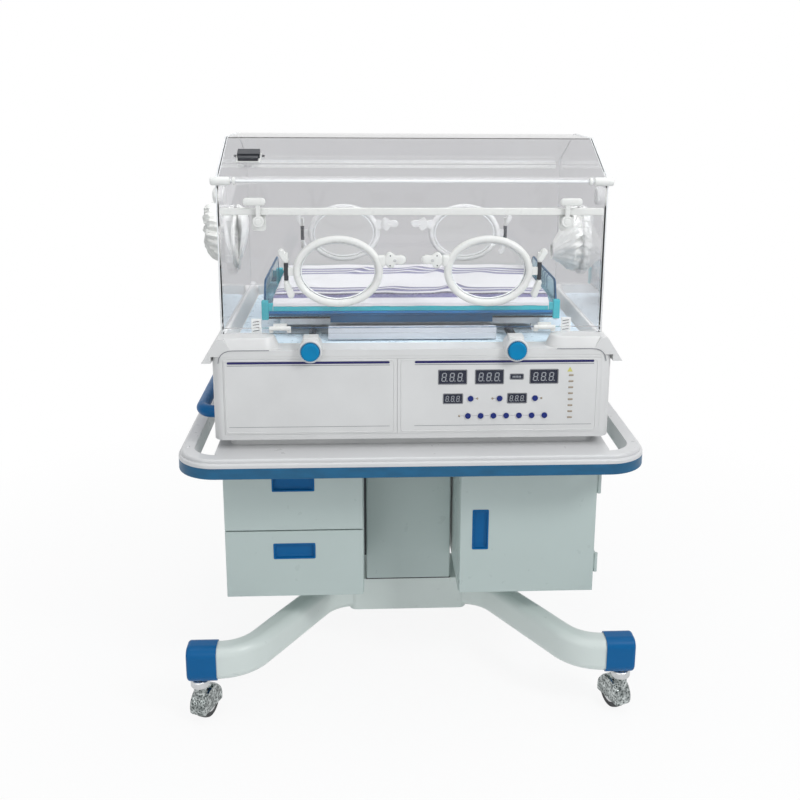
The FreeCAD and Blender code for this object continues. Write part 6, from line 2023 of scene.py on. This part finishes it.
        def over_rim(v: float) -> tuple[float, float]:
            """Level distance and drop of a point that slopes to the tray's rim and hangs over it."""
            route = ((0.0, 0.0, 0.0), (d - 0.018, d - 0.018, 0.0), (d - 0.006, d - 0.0065, 0.0022),
                     (d + 0.004, d + 0.0020, 0.0082), (d + 0.014, d + 0.0105, 0.0132),
                     (d + 0.0225, d + 0.0185, 0.0158), (d + 0.0290, d + 0.0232, 0.0196),
                     (d + 0.0360, d + 0.0236, 0.0266), (d + 0.1, d + 0.0236, 0.0906))
            a, sign = abs(v), 1.0 if v >= 0 else -1.0
            for (a0, y0, z0), (a1, y1, z1) in zip(route, route[1:]):
                if a <= a1:
                    t = (a - a0) / (a1 - a0)
                    return sign * (y0 + (y1 - y0) * t), min(z0 + (z1 - z0) * t, hem)
            return sign * route[-1][1], hem

        def place(u: float, v: float) -> Vector:
            """Where the sheet's point at u, v lies, both from the middle."""
            def fold(s: float, half: float, reach: float) -> tuple[float, float]:
                """Level distance and drop of a point past a rounded edge."""
                edge = half - 0.004
                a = abs(s)
                sign = 1.0 if s >= 0 else -1.0
                radius = 0.009
                if a <= edge - radius:
                    return s, 0.0
                bend = a - (edge - radius)
                quarter = radius * math.pi / 2
                if bend < quarter:
                    t = bend / radius
                    return sign * (edge - radius + radius * math.sin(t)), radius * (1 - math.cos(t))
                return sign * edge, radius + min(bend - quarter, reach)
            x, dx = fold(u, w + 0.0055, 0.030)
            y, dy = over_rim(v)
            drop = max(dx, dy)
            ripple = (0.0012 * noise.noise(Vector((u * 7, v * 9, 1.0)))
                      + 0.0006 * noise.noise(Vector((u * 22, v * 30, 4.0))))
            swell = 0.0010 * math.sin(u * 38 + 3 * noise.noise(Vector((u * 3, v * 3, 7.0))))
            wave = swell * max(0.0, (abs(v) / d) ** 2)
            side = 0.0022 * noise.noise(Vector((u * 26, v * 26, 11.0)))
            crown = 0.0032 * max(0.0, 1 - (u / w) ** 4) * max(0.0, 1 - (v / d) ** 4)
            hang = min(1.0, drop / 0.010)
            hump = 0.0
            for hu, hv, height, spread in humps:
                slant = (u - hu) - 0.5 * (v - hv)
                hump += height * math.exp(-(slant / spread) ** 2 - ((v - hv) / (spread * 2.4)) ** 2)
            return Vector((x + side * hang * (1 if dx >= dy else 0),
                           y + side * hang * 0.3 * (1 if dy > dx else 0),
                           top - drop + crown + hump * (1 - hang) + (ripple + wave) * (1 - hang) + 0.0008))

        mesh = bpy.data.meshes.new("Sheet")
        points = [tuple(place(full_x * (i / nx - 0.5), full_y * (j / ny - 0.5))) for j in range(ny + 1)
                  for i in range(nx + 1)]
        faces = [(j * (nx + 1) + i, j * (nx + 1) + i + 1, (j + 1) * (nx + 1) + i + 1, (j + 1) * (nx + 1) + i)
                 for j in range(ny) for i in range(nx)]
        mesh.from_pydata(points, [], faces)
        layer = mesh.uv_layers.new(name="Cloth")
        for loop in mesh.loops:
            i, j = loop.vertex_index % (nx + 1), loop.vertex_index // (nx + 1)
            layer.data[loop.index].uv = (full_x * (i / nx - 0.5), full_y * (j / ny - 0.5))
        piece = bpy.data.objects.new("Sheet", mesh)
        bpy.context.scene.collection.objects.link(piece)
        finish_piece(piece, self.shop.cotton, "bed", 0.0, ("mattress",))
        thick = piece.modifiers.new("Cloth", "SOLIDIFY")
        thick.thickness = 0.0007
        thick.offset = 1.0


def main() -> None:
    """Set the stage and build every sub-assembly in order."""
    logging.basicConfig(level=logging.INFO, format="%(name)s: %(message)s")
    Stage().build()
    shop = Workshop(Model(frame["nodes"]))
    for assembly in (Stand(shop), ControlUnit(shop), Hood(shop), Bed(shop)):
        assembly.build()


if __name__ == "__main__":
    main()
